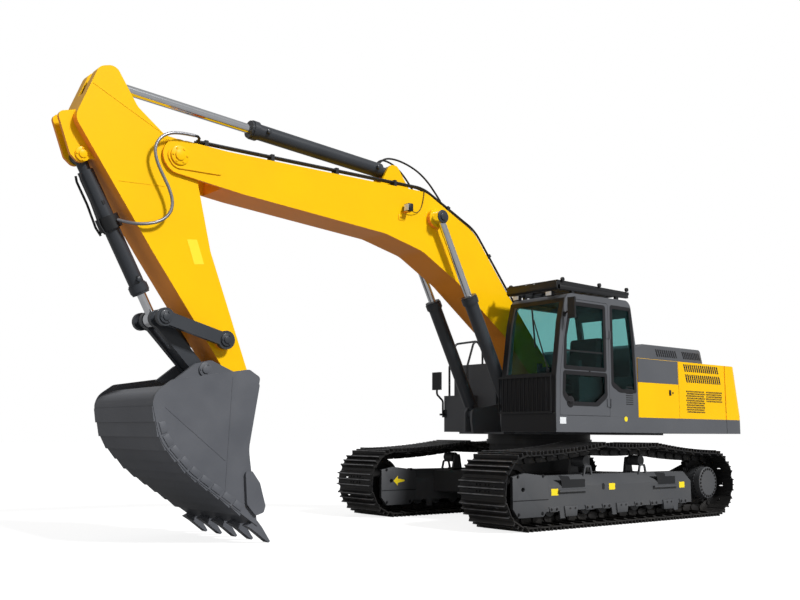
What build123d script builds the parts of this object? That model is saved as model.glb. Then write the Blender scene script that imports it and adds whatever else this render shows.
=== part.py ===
from build123d import *
import math
import os

os.makedirs("parts", exist_ok=True)

# Crawler excavator of the 37 tonne class, standing on its tracks.
# +X is forward, +Y is the driver's left and +Z is up. Lengths are in millimetres and
# profile points are (x, z) from the swing axis at ground level, with a corner radius third.

# Place of the swing axis, so that the middle of the whole outline is x = 0
swing_x = -1985

# Tracks
gauge = 2590
shoe_width = 800
shoe_count = 48
wheel_base = 4040
pin_radius = 364
rail_depth = 45
rail_width = 48
rail_gap = 94
shoe_seat = 62
shoe_thickness = 16
grouser_height = 43
grouser_spacing = 78
grouser_tip_width = 14
shoe_length = 204
carrier_offset = 600
carrier_rise = 110
top_sag = 22
seat_gap = 0.3

# Rollers, idler and final drive
roller_count = 9
roller_pitch = 352
roller_radius = 92
roller_flange = 20
roller_half_width = 150
axle_radius = 34
carrier_radius = 72
idler_axle_radius = 55
sprocket_teeth = 21
sprocket_width = 80
tooth_reach = 20
tooth_root = 38
drum_radius = 245
hub_radius = 231
hub_reach = 256
motor_radius = 165

# Track frames and car body
tow_eye = (925, 555)
tow_radius = 38
frame_half = 215
frame_bottom = 215
frame_shoulder = 520
frame_top = 655
frame_front = 1600
frame_rear = -1625
frame_wall = 22
loop_top = 775
ring_radius = 780
ring_bore = 610
ring_bottom = 1040
ring_split = 1110
ring_top = 1182
ring_clearance = 0.5

# Upper structure
house_half = 1497
skirt_bottom = 1212
deck_top = 1427
panel_top = 2272
deck_thickness = 24
skirt_thickness = 30
skirt_front = 1312
cab_rear = -434
door_seam = -1432
weight_front = -2690
weight_rear = -3470
weight_rake = 150
pocket_depth = 490
pocket_half = 1150
eye_offset = 700
eye_bore = 40
panel_thickness = 40
joint_gap = 6
hood_half = 1000
hood_front = -1085
hood_rear = -2860
hood_top = 2560
hood_wall = 25
tank_front = 340
tank_rear = -1440
tank_inner = -560
box_front = 560
box_rear = -100
box_inner = -960
box_top = 1780

# Cab
cab_inner = 505
cab_wall = 50
door_rear = 205
sill_height = 1950
glass_thickness = 8

# Working arm: pins as (x, z)
foot_pin = (150, 1980)
tip_pin = (6120, 4225)
lift_pin = (2330, 4090)
lift_base = (980, 1460)
crowd_base = (2930, 4670)
crowd_pin = (6940, 4950)
curl_base = (7150, 4070)
rocker_pin = (5490, 2200)
rod_pin = (6230, 2400)
ear_pin = (5710, 1860)
bucket_pin = (5240, 1660)
boom_half = 255
boom_wall = 16
pad_thickness = 14
pipe_radius = 15
bucket_hose_radius = 18
arm_hose_radius = 13
arm_half = 215
arm_wall = 16
fork_gap = 10
ear_gap = 4
eye_half = 65
eye_clearance = 10
lift_offset = 375
ear_inner = 285
ear_outer = 325
pin_gap = 0.5
lift_bore = 80
lift_outer = 95
lift_rod = 52
lift_eye = 57
lift_base_eye = 45
crowd_bore = 82
crowd_outer = 98
crowd_rod = 58
curl_pipe_line = [(860, 118), (760, 134), (500, 112), (240, 112), (180, 96)]
curl_bore = 72
curl_outer = 86
curl_rod = 50
rocker_inner = 272
rocker_outer = 330

neck_length = 165
gland_length = 60
piston_length = 40

# Bucket
bar_count = 10
bar_start = 235
bar_pitch = 158
bar_sink = 8
bar_low = 8
bar_high = 24
cutter_thickness = 34
bucket_half = 770
bucket_wall = 30
tooth_count = 5
tooth_length = 260
tooth_width = 110

# A corner's arc takes at most this share of its shorter edge
edge_share = 0.48

wheel_height = pin_radius + shoe_seat + shoe_thickness + grouser_height
track_y = gauge / 2


def side_plane(y):
    """Vertical plane facing the right side: local x is forward, local y is up."""
    return Plane(origin=(swing_x, y, 0), x_dir=(1, 0, 0), z_dir=(0, -1, 0))


def plan_plane(z):
    """Level plane at height z whose origin is on the swing axis."""
    return Plane(origin=(swing_x, 0, z))


def front_plane(x):
    """Plane across the machine at x: local x is to the left, local y is up."""
    return Plane(origin=(swing_x + x, 0, 0), x_dir=(0, 1, 0), z_dir=(1, 0, 0))


def draw(points):
    """Closed outline through points, each with an optional corner radius that its edges limit."""
    corners = [(point[0], point[1]) for point in points]
    radii = []
    for index, point in enumerate(points):
        before = Vector(*corners[index - 1]) - Vector(*corners[index])
        after = Vector(*corners[(index + 1) % len(corners)]) - Vector(*corners[index])
        half_corner = math.radians(before.get_angle(after) / 2)
        room = edge_share * min(before.length, after.length) * math.tan(half_corner)
        radii.append(min(point[2], room) if len(point) > 2 else 0)
    FilletPolyline(*corners, radius=radii, close=True)


def plate(points, y_low, y_high, mode=Mode.ADD):
    """Plate with its outline seen from the side, from y_low to y_high."""
    with BuildSketch(side_plane(y_high)) as profile:
        with BuildLine():
            draw(points)
        make_face()
    extrude(profile.sketch, amount=y_high - y_low, mode=mode)


def slab(points, z_low, z_high, mode=Mode.ADD):
    """Slab with its outline seen from above, from z_low to z_high."""
    with BuildSketch(plan_plane(z_low)) as profile:
        with BuildLine():
            draw(points)
        make_face()
    extrude(profile.sketch, amount=z_high - z_low, mode=mode)


def section(points, x_low, x_high, mode=Mode.ADD):
    """Beam with its section seen from the front, from x_low to x_high."""
    with BuildSketch(front_plane(x_low)) as profile:
        with BuildLine():
            draw(points)
        make_face()
    extrude(profile.sketch, amount=x_high - x_low, mode=mode)


def block(x_low, x_high, y_low, y_high, z_low, z_high, mode=Mode.ADD):
    """Rectangular block between the given limits."""
    corners = [(x_low, y_low), (x_high, y_low), (x_high, y_high), (x_low, y_high)]
    slab(corners, z_low, z_high, mode)


def disc(center, radius, y_low, y_high, mode=Mode.ADD):
    """Round boss, pin or hole along Y."""
    with BuildSketch(side_plane(y_high)) as profile:
        with Locations(center):
            Circle(radius)
    extrude(profile.sketch, amount=y_high - y_low, mode=mode)


def post(x, y, radius, z_low, z_high, mode=Mode.ADD):
    """Round post or hole along Z."""
    with BuildSketch(plan_plane(z_low)) as profile:
        with Locations((x, y)):
            Circle(radius)
    extrude(profile.sketch, amount=z_high - z_low, mode=mode)


def bar(start, end, y, radius, start_at=0, end_at=None, mode=Mode.ADD):
    """Round bar in a side plane on the line from start to end, between two distances."""
    along = Vector(end[0] - start[0], 0, end[1] - start[1])
    stop = along.length if end_at is None else end_at
    axis = along.normalized()
    foot = Vector(swing_x + start[0], y, start[1]) + axis * start_at
    with BuildSketch(Plane(origin=foot, z_dir=axis)) as profile:
        Circle(radius)
    extrude(profile.sketch, amount=stop - start_at, mode=mode)


def on_both(build):
    """Call build for the left side, 1, and the right side, -1."""
    for side in (1, -1):
        build(side)


def span(side, near, far):
    """Low and high y of a piece between two distances from the middle plane."""
    return (near, far) if side > 0 else (-far, -near)


def distance(first, second):
    """Distance between two pins."""
    return math.hypot(second[0] - first[0], second[1] - first[1])


def toward(start, end, reach, offset=0):
    """Point at a reach along the line from start to end, and an offset to its left."""
    length = distance(start, end)
    ux = (end[0] - start[0]) / length
    uz = (end[1] - start[1]) / length
    return (start[0] + ux * reach - uz * offset, start[1] + uz * reach + ux * offset)


def tube(points, radius, bend):
    """Round tube along straight runs with arcs at the corners."""
    with BuildLine() as route:
        FilletPolyline(*points, radius=bend)
    start = route.wire() @ 0
    with BuildSketch(Plane(origin=start, z_dir=route.wire() % 0)) as profile:
        Circle(radius)
    sweep(profile.sketch, path=route.wire())


def in_row(points, y):
    """Points (x, z) from the swing axis, placed at one y."""
    return [(swing_x + x, y, z) for x, z in points]


def save(piece, name):
    """Label one sub-part and write its STEP file."""
    piece.part.label = name
    export_step(piece.part, f"parts/{name}.step")


def save_pair(piece, name):
    """Write the left sub-part and its mirror image on the right."""
    save(piece, name + "_left")
    with BuildPart() as right:
        mirror(piece.part, about=Plane.XZ)
    save(right, name + "_right")


# Track loop: shoes with three grousers round the pin line, over two link rails

def pin_line():
    """Closed line through the chain's pins, seen from the side."""
    half = wheel_base / 2
    carrier_height = wheel_height + pin_radius + carrier_rise
    slope = math.atan2(carrier_rise, half - carrier_offset)
    lift_x = half + pin_radius * math.sin(slope)
    lift_z = wheel_height + pin_radius * math.cos(slope)
    bottom = wheel_height - pin_radius
    mid_x = (lift_x + carrier_offset) / 2
    mid_z = (lift_z + carrier_height) / 2 - top_sag
    with BuildLine() as path:
        Line((-half, bottom), (half, bottom))
        ThreePointArc((half, bottom), (half + pin_radius, wheel_height), (lift_x, lift_z))
        ThreePointArc((lift_x, lift_z), (mid_x, mid_z), (carrier_offset, carrier_height))
        ThreePointArc(
            (carrier_offset, carrier_height),
            (0, carrier_height - top_sag),
            (-carrier_offset, carrier_height),
        )
        ThreePointArc((-carrier_offset, carrier_height), (-mid_x, mid_z), (-lift_x, lift_z))
        ThreePointArc((-lift_x, lift_z), (-half - pin_radius, wheel_height), (-half, bottom))
    return path.wire()


def loop_points(line, shape):
    """Points of shape, as (along, out) pairs, repeated at each shoe of the loop."""
    points = []
    for index in range(shoe_count):
        reach = line.length * (index + 0.5) / shoe_count
        spot = line.position_at(reach, position_mode=PositionMode.LENGTH)
        way = line.tangent_at(reach, position_mode=PositionMode.LENGTH)
        for along, out in shape:
            points.append((spot.X + way.X * along + way.Y * out, spot.Y + way.Y * along - way.X * out))
    return points


plate_face = shoe_seat + shoe_thickness
grouser_face = plate_face + grouser_height
half_tip = grouser_tip_width / 2
valley = grouser_spacing / 2
shoe_shape = [(-shoe_length / 2, plate_face)]
for number in (-1, 0, 1):
    middle = number * grouser_spacing
    shoe_shape += [(middle - half_tip, grouser_face), (middle + half_tip, grouser_face)]
    if number < 1:
        shoe_shape.append((middle + valley, plate_face))
shoe_shape.append((shoe_length / 2, plate_face))

pins = pin_line()
link_step = pins.length / shoe_count
shoe_outline = loop_points(pins, shoe_shape)
seat_outline = loop_points(pins, [(-link_step / 2, shoe_seat)])
rail_outline = loop_points(pins, [(-link_step / 2, -rail_depth)])
rail_root = loop_points(pins, [(-link_step / 2, shoe_seat + shoe_thickness / 2)])


def band(outer, inner, y_low, y_high):
    """Closed band between two outlines."""
    with BuildSketch(side_plane(y_high)) as profile:
        with BuildLine():
            Polyline(*outer, close=True)
        make_face()
        with BuildLine():
            Polyline(*inner, close=True)
        make_face(mode=Mode.SUBTRACT)
    extrude(profile.sketch, amount=y_high - y_low)


with BuildPart() as track:
    band(shoe_outline, seat_outline, track_y - shoe_width / 2, track_y + shoe_width / 2)
    for rail_y in (track_y - rail_gap / 2 - rail_width, track_y + rail_gap / 2):
        band(rail_root, rail_outline, rail_y, rail_y + rail_width)
save_pair(track, "track")

# Least distance from an end wheel's axle to the chain's flat rails
rail_flat = (pin_radius - rail_depth) * math.cos(math.asin(link_step / 2 / pin_radius))


# Sprocket with its teeth between the rails

with BuildPart() as sprocket:
    tip = pin_radius + tooth_reach
    root = pin_radius - tooth_root
    tooth_angle = 360 / sprocket_teeth
    tooth_points = []
    for number in range(sprocket_teeth):
        for radius, share in ((root, -0.36), (tip, -0.1), (tip, 0.1), (root, 0.36)):
            turn = math.radians((number + share) * tooth_angle)
            tooth_points.append((radius * math.cos(turn), radius * math.sin(turn)))
    with BuildSketch(side_plane(track_y + sprocket_width / 2)) as gear:
        with Locations((-wheel_base / 2, wheel_height)):
            Polygon(*tooth_points, align=None)
            Circle(drum_radius + seat_gap, mode=Mode.SUBTRACT)
    extrude(amount=sprocket_width)
save_pair(sprocket, "sprocket")

rear_axle = (-wheel_base / 2, wheel_height)
front_axle = (wheel_base / 2, wheel_height)

with BuildPart() as final_drive:
    disc(rear_axle, motor_radius, track_y - frame_half - 90, track_y - 150)
    disc(rear_axle, drum_radius, track_y - 150, track_y + 160)
    disc(rear_axle, hub_radius, track_y + 160, track_y + hub_reach)
    fillet(final_drive.faces().sort_by(Axis.Y)[-1].edges(), 12)
save_pair(final_drive, "final_drive")

rim_half = rail_gap / 2 + rail_width
with BuildPart() as idler:
    idler_rim = rail_flat - seat_gap
    disc(front_axle, idler_rim, track_y - rim_half, track_y + rim_half)
    disc(front_axle, pin_radius - rail_depth + 18, track_y - rail_gap / 2 + 6, track_y + rail_gap / 2 - 6)
    for near, far in ((-rim_half, -rail_gap / 2), (rail_gap / 2, rim_half)):
        with BuildSketch(side_plane(track_y + far)) as groove:
            with Locations(front_axle):
                Circle(idler_rim - 45)
                Circle(idler_axle_radius + 50, mode=Mode.SUBTRACT)
        extrude(amount=far - near, mode=Mode.SUBTRACT)
    disc(front_axle, idler_axle_radius, track_y - frame_half + 40, track_y + frame_half - 40)
save_pair(idler, "idler")


# Bottom rollers, each on its own axle in the track frame

def roller(center):
    """Track roller with inner and outer flanges and its axle."""
    disc(center, roller_radius, track_y - roller_half_width, track_y + roller_half_width)
    for near, far in ((-roller_half_width, -rim_half - 4), (rim_half + 4, roller_half_width)):
        disc(center, roller_radius + roller_flange, track_y + near, track_y + far)
    inner = frame_half - frame_wall - seat_gap
    disc(center, axle_radius, track_y - inner, track_y + inner)


roller_height = wheel_height - pin_radius + rail_depth + roller_radius + seat_gap
roller_places = [(index - (roller_count - 1) / 2) * roller_pitch for index in range(roller_count)]
with BuildPart() as track_rollers:
    for place in roller_places:
        roller((place, roller_height))
save_pair(track_rollers, "track_rollers")

carrier_line = wheel_height + pin_radius + carrier_rise - rail_depth
carrier_height = carrier_line - carrier_radius - 16
with BuildPart() as carrier_rollers:
    for place in (-carrier_offset, carrier_offset):
        center = (place, carrier_height)
        disc(center, carrier_radius, track_y - rim_half, track_y + rim_half)
        disc(center, axle_radius, track_y - rim_half - 60, track_y - rim_half)
        foot_z = frame_top + seat_gap
        block(place - 90, place + 90, track_y - rim_half - 60, track_y - 30, foot_z, foot_z + 14)
        plate(
            [
                (place - 90, foot_z),
                (place + 90, foot_z),
                (place + 50, carrier_height + 45, 30),
                (place - 50, carrier_height + 45, 30),
            ],
            track_y - rim_half - 60,
            track_y - rim_half - 20,
        )
save_pair(carrier_rollers, "carrier_rollers")


# Track frames: welded box beams with the idler's fork in front and the motor plate behind

with BuildPart() as track_frame:
    shoulder = [
        (track_y - frame_half, frame_bottom),
        (track_y + frame_half, frame_bottom),
        (track_y + frame_half, frame_shoulder),
        (track_y + frame_half - 125, frame_top),
        (track_y - frame_half + 125, frame_top),
        (track_y - frame_half, frame_shoulder),
    ]
    section(shoulder, frame_rear, frame_front)
    inner = frame_half - frame_wall
    bay = [
        (track_y - inner, frame_bottom - 10),
        (track_y + inner, frame_bottom - 10),
        (track_y + inner, frame_shoulder - 90),
        (track_y - inner, frame_shoulder - 90),
    ]
    section(bay, frame_rear - 10, frame_front + 10, mode=Mode.SUBTRACT)
    hollow = [
        (track_y - inner, frame_shoulder - 60),
        (track_y + inner, frame_shoulder - 60),
        (track_y + inner, frame_shoulder - 10),
        (track_y + inner - 118, frame_top - 22),
        (track_y - inner + 118, frame_top - 22),
        (track_y - inner, frame_shoulder - 10),
    ]
    section(hollow, frame_rear + 30, frame_front - 30, mode=Mode.SUBTRACT)
    for step_low, step_high in ((-1270, -700), (770, 1320)):
        block(step_low, step_high, track_y + frame_half, track_y + frame_half + 34, frame_shoulder - 70, frame_shoulder - 45)
    for place in (-carrier_offset, carrier_offset):
        loop = [
            (place - 105, frame_shoulder + 95),
            (place + 105, frame_shoulder + 95),
            (place + 62, loop_top, 30),
            (place - 62, loop_top, 30),
        ]
        opening = [
            (place - 66, frame_top - 5),
            (place + 66, frame_top - 5),
            (place + 42, loop_top - 24, 20),
            (place - 42, loop_top - 24, 20),
        ]
        plate(loop, track_y + 100, track_y + 122)
        plate(opening, track_y + 99, track_y + 123, Mode.SUBTRACT)
    fork = [
        (frame_front - 60, 596),
        (frame_front - 60, 300),
        (frame_front + 10, 250),
        (front_axle[0] + 25, 152),
        (front_axle[0] + 40, 330),
        (front_axle[0] + 25, 596),
    ]
    for near, far in ((-frame_half + 40, -rim_half - 14), (rim_half + 14, frame_half - 40)):
        plate(fork, track_y + near, track_y + far)
        disc(front_axle, idler_axle_radius + seat_gap, track_y + near, track_y + far, Mode.SUBTRACT)
    motor_plate = [
        (frame_rear + 90, frame_bottom + 20),
        (rear_axle[0], wheel_height - 250),
        (rear_axle[0] - 200, wheel_height - 170, 60),
        (rear_axle[0] - 260, wheel_height, 120),
        (rear_axle[0] - 200, wheel_height + 170, 60),
        (rear_axle[0], wheel_height + 250),
        (frame_rear + 90, frame_top - 60),
    ]
    plate(motor_plate, track_y - frame_half, track_y - 160)
    disc(rear_axle, motor_radius + seat_gap, track_y - frame_half, track_y - 160, Mode.SUBTRACT)
    for place in (roller_places[1] - roller_pitch / 2, roller_places[4] + roller_pitch / 2, roller_places[7] + roller_pitch / 2):
        for near, far in ((-frame_half, -frame_half + frame_wall), (frame_half - frame_wall, frame_half)):
            guard = [(place - 60, frame_bottom), (place + 60, frame_bottom), (place + 45, 120), (place - 45, 120)]
            plate(guard, track_y + near, track_y + far)
save_pair(track_frame, "track_frame")


# Car body: centre box under the slew ring, with a leg to each end of both track frames

with BuildPart() as car_body:
    post(0, 0, ring_radius - 40, 560, ring_bottom)
    belly = [(-820, -620, 120), (820, -620, 120), (820, 620, 120), (-820, 620, 120)]
    slab(belly, 470, 640)
    for side_x in (-1, 1):
        for side_y in (-1, 1):
            leg = [
                (side_x * 250, side_y * 420),
                (side_x * 720, side_y * 420),
                (side_x * 1150, side_y * (track_y - frame_half)),
                (side_x * 560, side_y * (track_y - frame_half)),
            ]
            if side_x * side_y < 0:
                leg = leg[::-1]
            slab(leg, 330, 640)
    post(0, 0, ring_bore - 120, 460, ring_bottom + 1, Mode.SUBTRACT)
    tow_plate = [(780, 470), (1000, 470, 60), (1000, 640, 60), (780, 640)]
    plate(tow_plate, -30, 30)
    disc(tow_eye, tow_radius, -31, 31, Mode.SUBTRACT)
save(car_body, "car_body")

with BuildPart() as slew_ring_lower:
    post(0, 0, ring_radius, ring_bottom, ring_split)
    post(0, 0, ring_bore, ring_bottom, ring_split, Mode.SUBTRACT)
save(slew_ring_lower, "slew_ring_lower")

with BuildPart() as slew_ring_upper:
    post(0, 0, ring_radius - 20, ring_split + ring_clearance, ring_top)
    post(0, 0, ring_bore, ring_split + ring_clearance, ring_top, Mode.SUBTRACT)
save(slew_ring_upper, "slew_ring_upper")


# Main frame of the upper structure: ring plate, two boom foot plates, deck and skirts

deck_outline = [
    (skirt_front, cab_inner),
    (skirt_front, house_half),
    (weight_front + joint_gap, house_half),
    (weight_front + joint_gap, -house_half),
    (box_front, -house_half),
    (box_front, -cab_inner),
    (840, -cab_inner + 20),
    (840, cab_inner - 20),
]
foot_plate = [
    (weight_front + joint_gap, ring_top),
    (1080, ring_top),
    (lift_base[0] + 130, lift_base[1] - 100),
    (lift_base[0] + 130, lift_base[1] + 90, 100),
    (lift_base[0] - 90, lift_base[1] + 110, 60),
    (foot_pin[0] + 330, 1640, 100),
    (foot_pin[0] + 190, foot_pin[1] + 60, 90),
    (foot_pin[0] + 60, foot_pin[1] + 190, 90),
    (foot_pin[0] - 120, foot_pin[1] + 190, 90),
    (foot_pin[0] - 260, foot_pin[1] + 20, 100),
    (-420, deck_top),
    (weight_front + joint_gap, deck_top),
]
with BuildPart() as main_frame:
    slab(deck_outline, deck_top - deck_thickness, deck_top)
    with BuildSketch(plan_plane(skirt_bottom)) as skirt:
        with BuildLine():
            draw(deck_outline)
        make_face()
        offset(amount=-skirt_thickness, kind=Kind.INTERSECTION, mode=Mode.SUBTRACT)
    extrude(skirt.sketch, amount=deck_top - skirt_bottom)
    ring_plate = [(-1100, -ear_outer - 500), (860, -ear_outer - 500), (860, ear_outer + 500), (-1100, ear_outer + 500)]
    slab(ring_plate, ring_top, ring_top + 30)
    for side in (1, -1):
        plate(foot_plate, *span(side, ear_inner, ear_outer))
        outer_ear = [
            (lift_base[0] - 130, ring_top + 30),
            (lift_base[0] + 130, ring_top + 30),
            (lift_base[0] + 130, lift_base[1] + 90, 90),
            (lift_base[0] - 130, lift_base[1] + 90, 90),
        ]
        plate(outer_ear, *span(side, lift_offset + 50, lift_offset + 90))
    boom_bay = [(foot_pin[0] - 300, -ear_inner), (1400, -ear_inner), (1400, ear_inner), (foot_pin[0] - 300, ear_inner)]
    slab(boom_bay, ring_top + 30, deck_top + 1, Mode.SUBTRACT)
save(main_frame, "main_frame")


# Counterweight with rounded corners and a raked rear

def weight_outline(rear, corner):
    """Plan outline of the counterweight at one height."""
    return [
        (weight_front, -house_half),
        (weight_front, house_half),
        (rear + 320, house_half, corner),
        (rear, house_half * 0.62, corner),
        (rear, -house_half * 0.62, corner),
        (rear + 320, -house_half, corner),
    ]


with BuildPart() as counterweight:
    slab(weight_outline(weight_rear, 260), deck_top + seat_gap, deck_top + 60)
    with BuildSketch(plan_plane(deck_top + 60)) as low_face:
        with BuildLine():
            draw(weight_outline(weight_rear, 260))
        make_face()
    with BuildSketch(plan_plane(panel_top)) as high_face:
        with BuildLine():
            draw(weight_outline(weight_rear + weight_rake, 260))
        make_face()
    loft([low_face.sketch.face(), high_face.sketch.face()])
    block(weight_front - pocket_depth, weight_front + 10, -pocket_half, pocket_half, deck_top + 40, panel_top - 120, Mode.SUBTRACT)
save(counterweight, "counterweight")

with BuildPart() as weight_skirt:
    slab(weight_outline(weight_rear, 260), skirt_bottom, deck_top)
    for eye_y in (-eye_offset, eye_offset):
        post(weight_front - 360, eye_y, eye_bore, skirt_bottom - 1, deck_top + 1, Mode.SUBTRACT)
save(weight_skirt, "weight_skirt")

with BuildPart() as engine_block:
    block(-2480, -1750, -620, 620, deck_top, 2150)
save(engine_block, "engine_block")


# Machine room: bulkheads, corner posts and the top plate round the hood

room_inner = house_half - panel_thickness - joint_gap
post_inner = room_inner - 34
with BuildPart() as machine_room:
    block(weight_front + joint_gap, cab_rear, tank_inner + 6, room_inner, panel_top - 30, panel_top)
    block(weight_front + joint_gap, tank_rear - joint_gap, -room_inner, tank_inner + 6, panel_top - 30, panel_top)
    block(hood_rear - 10, hood_front - 40, -hood_half + 60, hood_half - 60, panel_top - 31, panel_top + 1, Mode.SUBTRACT)
    block(cab_rear - 30, cab_rear, tank_inner + 6, post_inner, deck_top, panel_top)
    block(door_seam - 40, door_seam + 40, post_inner - 40, post_inner, deck_top, panel_top)
    for side in (1, -1):
        block(weight_front + joint_gap, weight_front + 46, *span(side, post_inner - 60, post_inner), deck_top, panel_top)
    block(tank_rear - 36, tank_rear - joint_gap, -post_inner, tank_inner + 6, deck_top, panel_top)
    block(tank_rear - 36, cab_rear, tank_inner + 6, tank_inner + 36, deck_top, panel_top)
save(machine_room, "machine_room")


# Doors of the machine room, each with a hinge barrel at one edge

def room_door(hinge_x, free_x, side):
    """Side door standing on the deck, round at the edge it turns about."""
    radius = panel_thickness / 2
    outer = side * house_half
    inner = side * (house_half - panel_thickness)
    corners = [(hinge_x, inner, radius), (hinge_x, outer, radius), (free_x, outer), (free_x, inner)]
    slab(corners, deck_top + pin_gap, panel_top)


with BuildPart() as side_door:
    room_door(cab_rear - joint_gap, door_seam + joint_gap / 2, 1)
save(side_door, "side_door")

with BuildPart() as cooler_door:
    room_door(weight_front + joint_gap, door_seam - joint_gap / 2, 1)
save(cooler_door, "cooler_door")

with BuildPart() as pump_door:
    room_door(tank_rear - joint_gap, weight_front + joint_gap, -1)
save(pump_door, "pump_door")


# Engine hood, hinged at its front edge

hood_base = panel_top + 0.5
hood_outline = [
    (hood_rear, hood_base),
    (hood_front, hood_base),
    (hood_front, hood_top - 60, 30),
    (hood_front - 180, hood_top, 60),
    (hood_rear + 60, hood_top, 60),
    (hood_rear, hood_base + 90, 30),
]
with BuildPart() as engine_hood:
    plate(hood_outline, -hood_half, hood_half)
    inner_outline = [
        (hood_rear + hood_wall, hood_base - 1),
        (hood_front - hood_wall, hood_base - 1),
        (hood_front - hood_wall, hood_top - 75),
        (hood_front - 190, hood_top - hood_wall),
        (hood_rear + 75, hood_top - hood_wall),
        (hood_rear + hood_wall, hood_base + 80),
    ]
    plate(inner_outline, -hood_half + hood_wall, hood_half - hood_wall, Mode.SUBTRACT)
    side_edges = engine_hood.faces().filter_by(Axis.Z).sort_by(Axis.Z)[-1].edges().filter_by(Axis.X)
    chamfer(side_edges, 12)
save(engine_hood, "engine_hood")


# Tanks and tool box along the right side

def shell_block(x_low, x_high, y_low, y_high, z_low, z_high, wall):
    """Closed sheet metal tank."""
    block(x_low, x_high, y_low, y_high, z_low, z_high)
    block(x_low + wall, x_high - wall, y_low + wall, y_high - wall, z_low + wall, z_high - wall, Mode.SUBTRACT)


with BuildPart() as fuel_tank:
    shell_block(-600, tank_front, -house_half, tank_inner, deck_top, panel_top, 20)
save(fuel_tank, "fuel_tank")

with BuildPart() as hydraulic_tank:
    shell_block(tank_rear, -600 - joint_gap, -house_half, tank_inner, deck_top, panel_top, 20)
save(hydraulic_tank, "hydraulic_tank")

with BuildPart() as tool_box:
    shell_block(tank_front + joint_gap, box_front, -house_half, box_inner, deck_top, box_top, 20)
save(tool_box, "tool_box")


# Cab: one welded shell with its windows and door opening cut

cab_outline = [
    (skirt_front, deck_top + pin_gap),
    (1296, sill_height, 300),
    (1185, 2670, 300),
    (1075, 3060, 150),
    (-300, 3075, 130),
    (-425, 2360, 200),
    (cab_rear, deck_top + pin_gap),
]
cab_inner_outline = [
    (skirt_front - cab_wall, deck_top + cab_wall),
    (1296 - cab_wall, sill_height, 300),
    (1185 - cab_wall, 2660, 300),
    (1045, 3060 - cab_wall, 110),
    (-270, 3075 - cab_wall, 90),
    (-425 + cab_wall, 2360, 200),
    (cab_rear + cab_wall, deck_top + cab_wall),
]
door_front = 1225
door_outline = [
    (door_rear, deck_top + 8),
    (door_front + 8, deck_top + 8),
    (door_front - 6, sill_height, 300),
    (1105, 2640, 300),
    (1030, 2985, 60),
    (door_rear, 2985, 40),
]


def grow(points, amount):
    """Outline moved outwards by an amount, with its corner radii kept."""
    with BuildSketch(mode=Mode.PRIVATE) as shape:
        with BuildLine():
            draw(points)
        make_face()
        offset(amount=amount, kind=Kind.INTERSECTION, mode=Mode.REPLACE)
    return shape.sketch


front_window = [
    (cab_inner + 110, sill_height + 10, 40),
    (house_half - 70, sill_height + 10, 40),
    (house_half - 70, 2940, 60),
    (cab_inner + 110, 2940, 60),
]
rear_window = [
    (cab_inner + 90, sill_height + 60, 40),
    (house_half - 90, sill_height + 60, 40),
    (house_half - 90, 2900, 60),
    (cab_inner + 90, 2900, 60),
]
quarter = [
    (130, 1880, 100),
    (130, 2950, 50),
    (-285, 2950, 90),
    (-360, 2380, 300),
    (-375, 1790, 40),
    (-40, 1790, 60),
]
right_window = [
    (1170, 1800, 60),
    (1080, 2600, 200),
    (1000, 2950, 60),
    (-270, 2950, 80),
    (-360, 2380, 300),
    (-370, 1800, 40),
]
with BuildPart() as cab_frame:
    plate(cab_outline, cab_inner, house_half)
    plate(cab_inner_outline, cab_inner + cab_wall, house_half - cab_wall, Mode.SUBTRACT)
    with BuildSketch(side_plane(house_half + 1)) as door_hole:
        add(grow(door_outline, 5))
    extrude(door_hole.sketch, amount=cab_wall + 2, mode=Mode.SUBTRACT)
    section(front_window, 1000, 1400, Mode.SUBTRACT)
    section(rear_window, -500, -300, Mode.SUBTRACT)
    plate(quarter, house_half - cab_wall - 1, house_half + 1, Mode.SUBTRACT)
    plate(right_window, cab_inner - 1, cab_inner + cab_wall + 1, Mode.SUBTRACT)
save(cab_frame, "cab_frame")

upper_pane = [(290, 2065, 40), (1120, 2065, 30), (1085, 2520, 300), (980, 2925, 60), (290, 2925, 40)]
lower_pane = [(280, 1990, 40), (280, 1720, 60), (480, 1590, 60), (1020, 1590, 60), (1150, 1720, 40), (1130, 1990, 40)]
with BuildPart() as cab_door:
    plate(door_outline, house_half - 45, house_half)
    plate(upper_pane, house_half - 46, house_half + 1, Mode.SUBTRACT)
    plate(lower_pane, house_half - 46, house_half + 1, Mode.SUBTRACT)
    for z_low in (1560, 2500):
        post(door_rear - 14, house_half + 14, 14, z_low, z_low + 110)
        block(door_rear - 14, door_rear + 60, house_half, house_half + 10, z_low, z_low + 110)
save(cab_door, "cab_door")


def pane(points, y_low, y_high):
    """Glass in a window of a side wall, just clear of the opening's edge."""
    with BuildSketch(side_plane(y_high)) as glass:
        add(grow(points, -seat_gap))
    extrude(glass.sketch, amount=y_high - y_low)


with BuildPart() as door_glass:
    for outline in (upper_pane, lower_pane):
        pane(outline, house_half - 25, house_half - 25 + glass_thickness)
save(door_glass, "door_glass")

def cross_pane(points, window, y_low, y_high):
    """Glass of a front or rear window, trimmed to the window's own shape."""
    plate(points, y_low, y_high)
    with BuildSketch(front_plane(-600)) as hole:
        add(grow(window, -seat_gap))
    extrude(hole.sketch, amount=2100, mode=Mode.INTERSECT)


with BuildPart() as windscreen:
    screen = [
        (1296 - 15, sill_height),
        (1185 - 15, 2670, 300),
        (1098, 2960),
        (1090, 2960),
        (1185 - 23, 2670, 300),
        (1296 - 23, sill_height),
    ]
    cross_pane(screen, front_window, cab_inner, house_half)

with BuildPart() as rear_pane:
    back = [
        (-406, sill_height),
        (-401, 2360),
        (-308, 2920),
        (-316, 2920),
        (-409, 2360),
        (-414, sill_height),
    ]
    cross_pane(back, rear_window, cab_inner, house_half)

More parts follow.
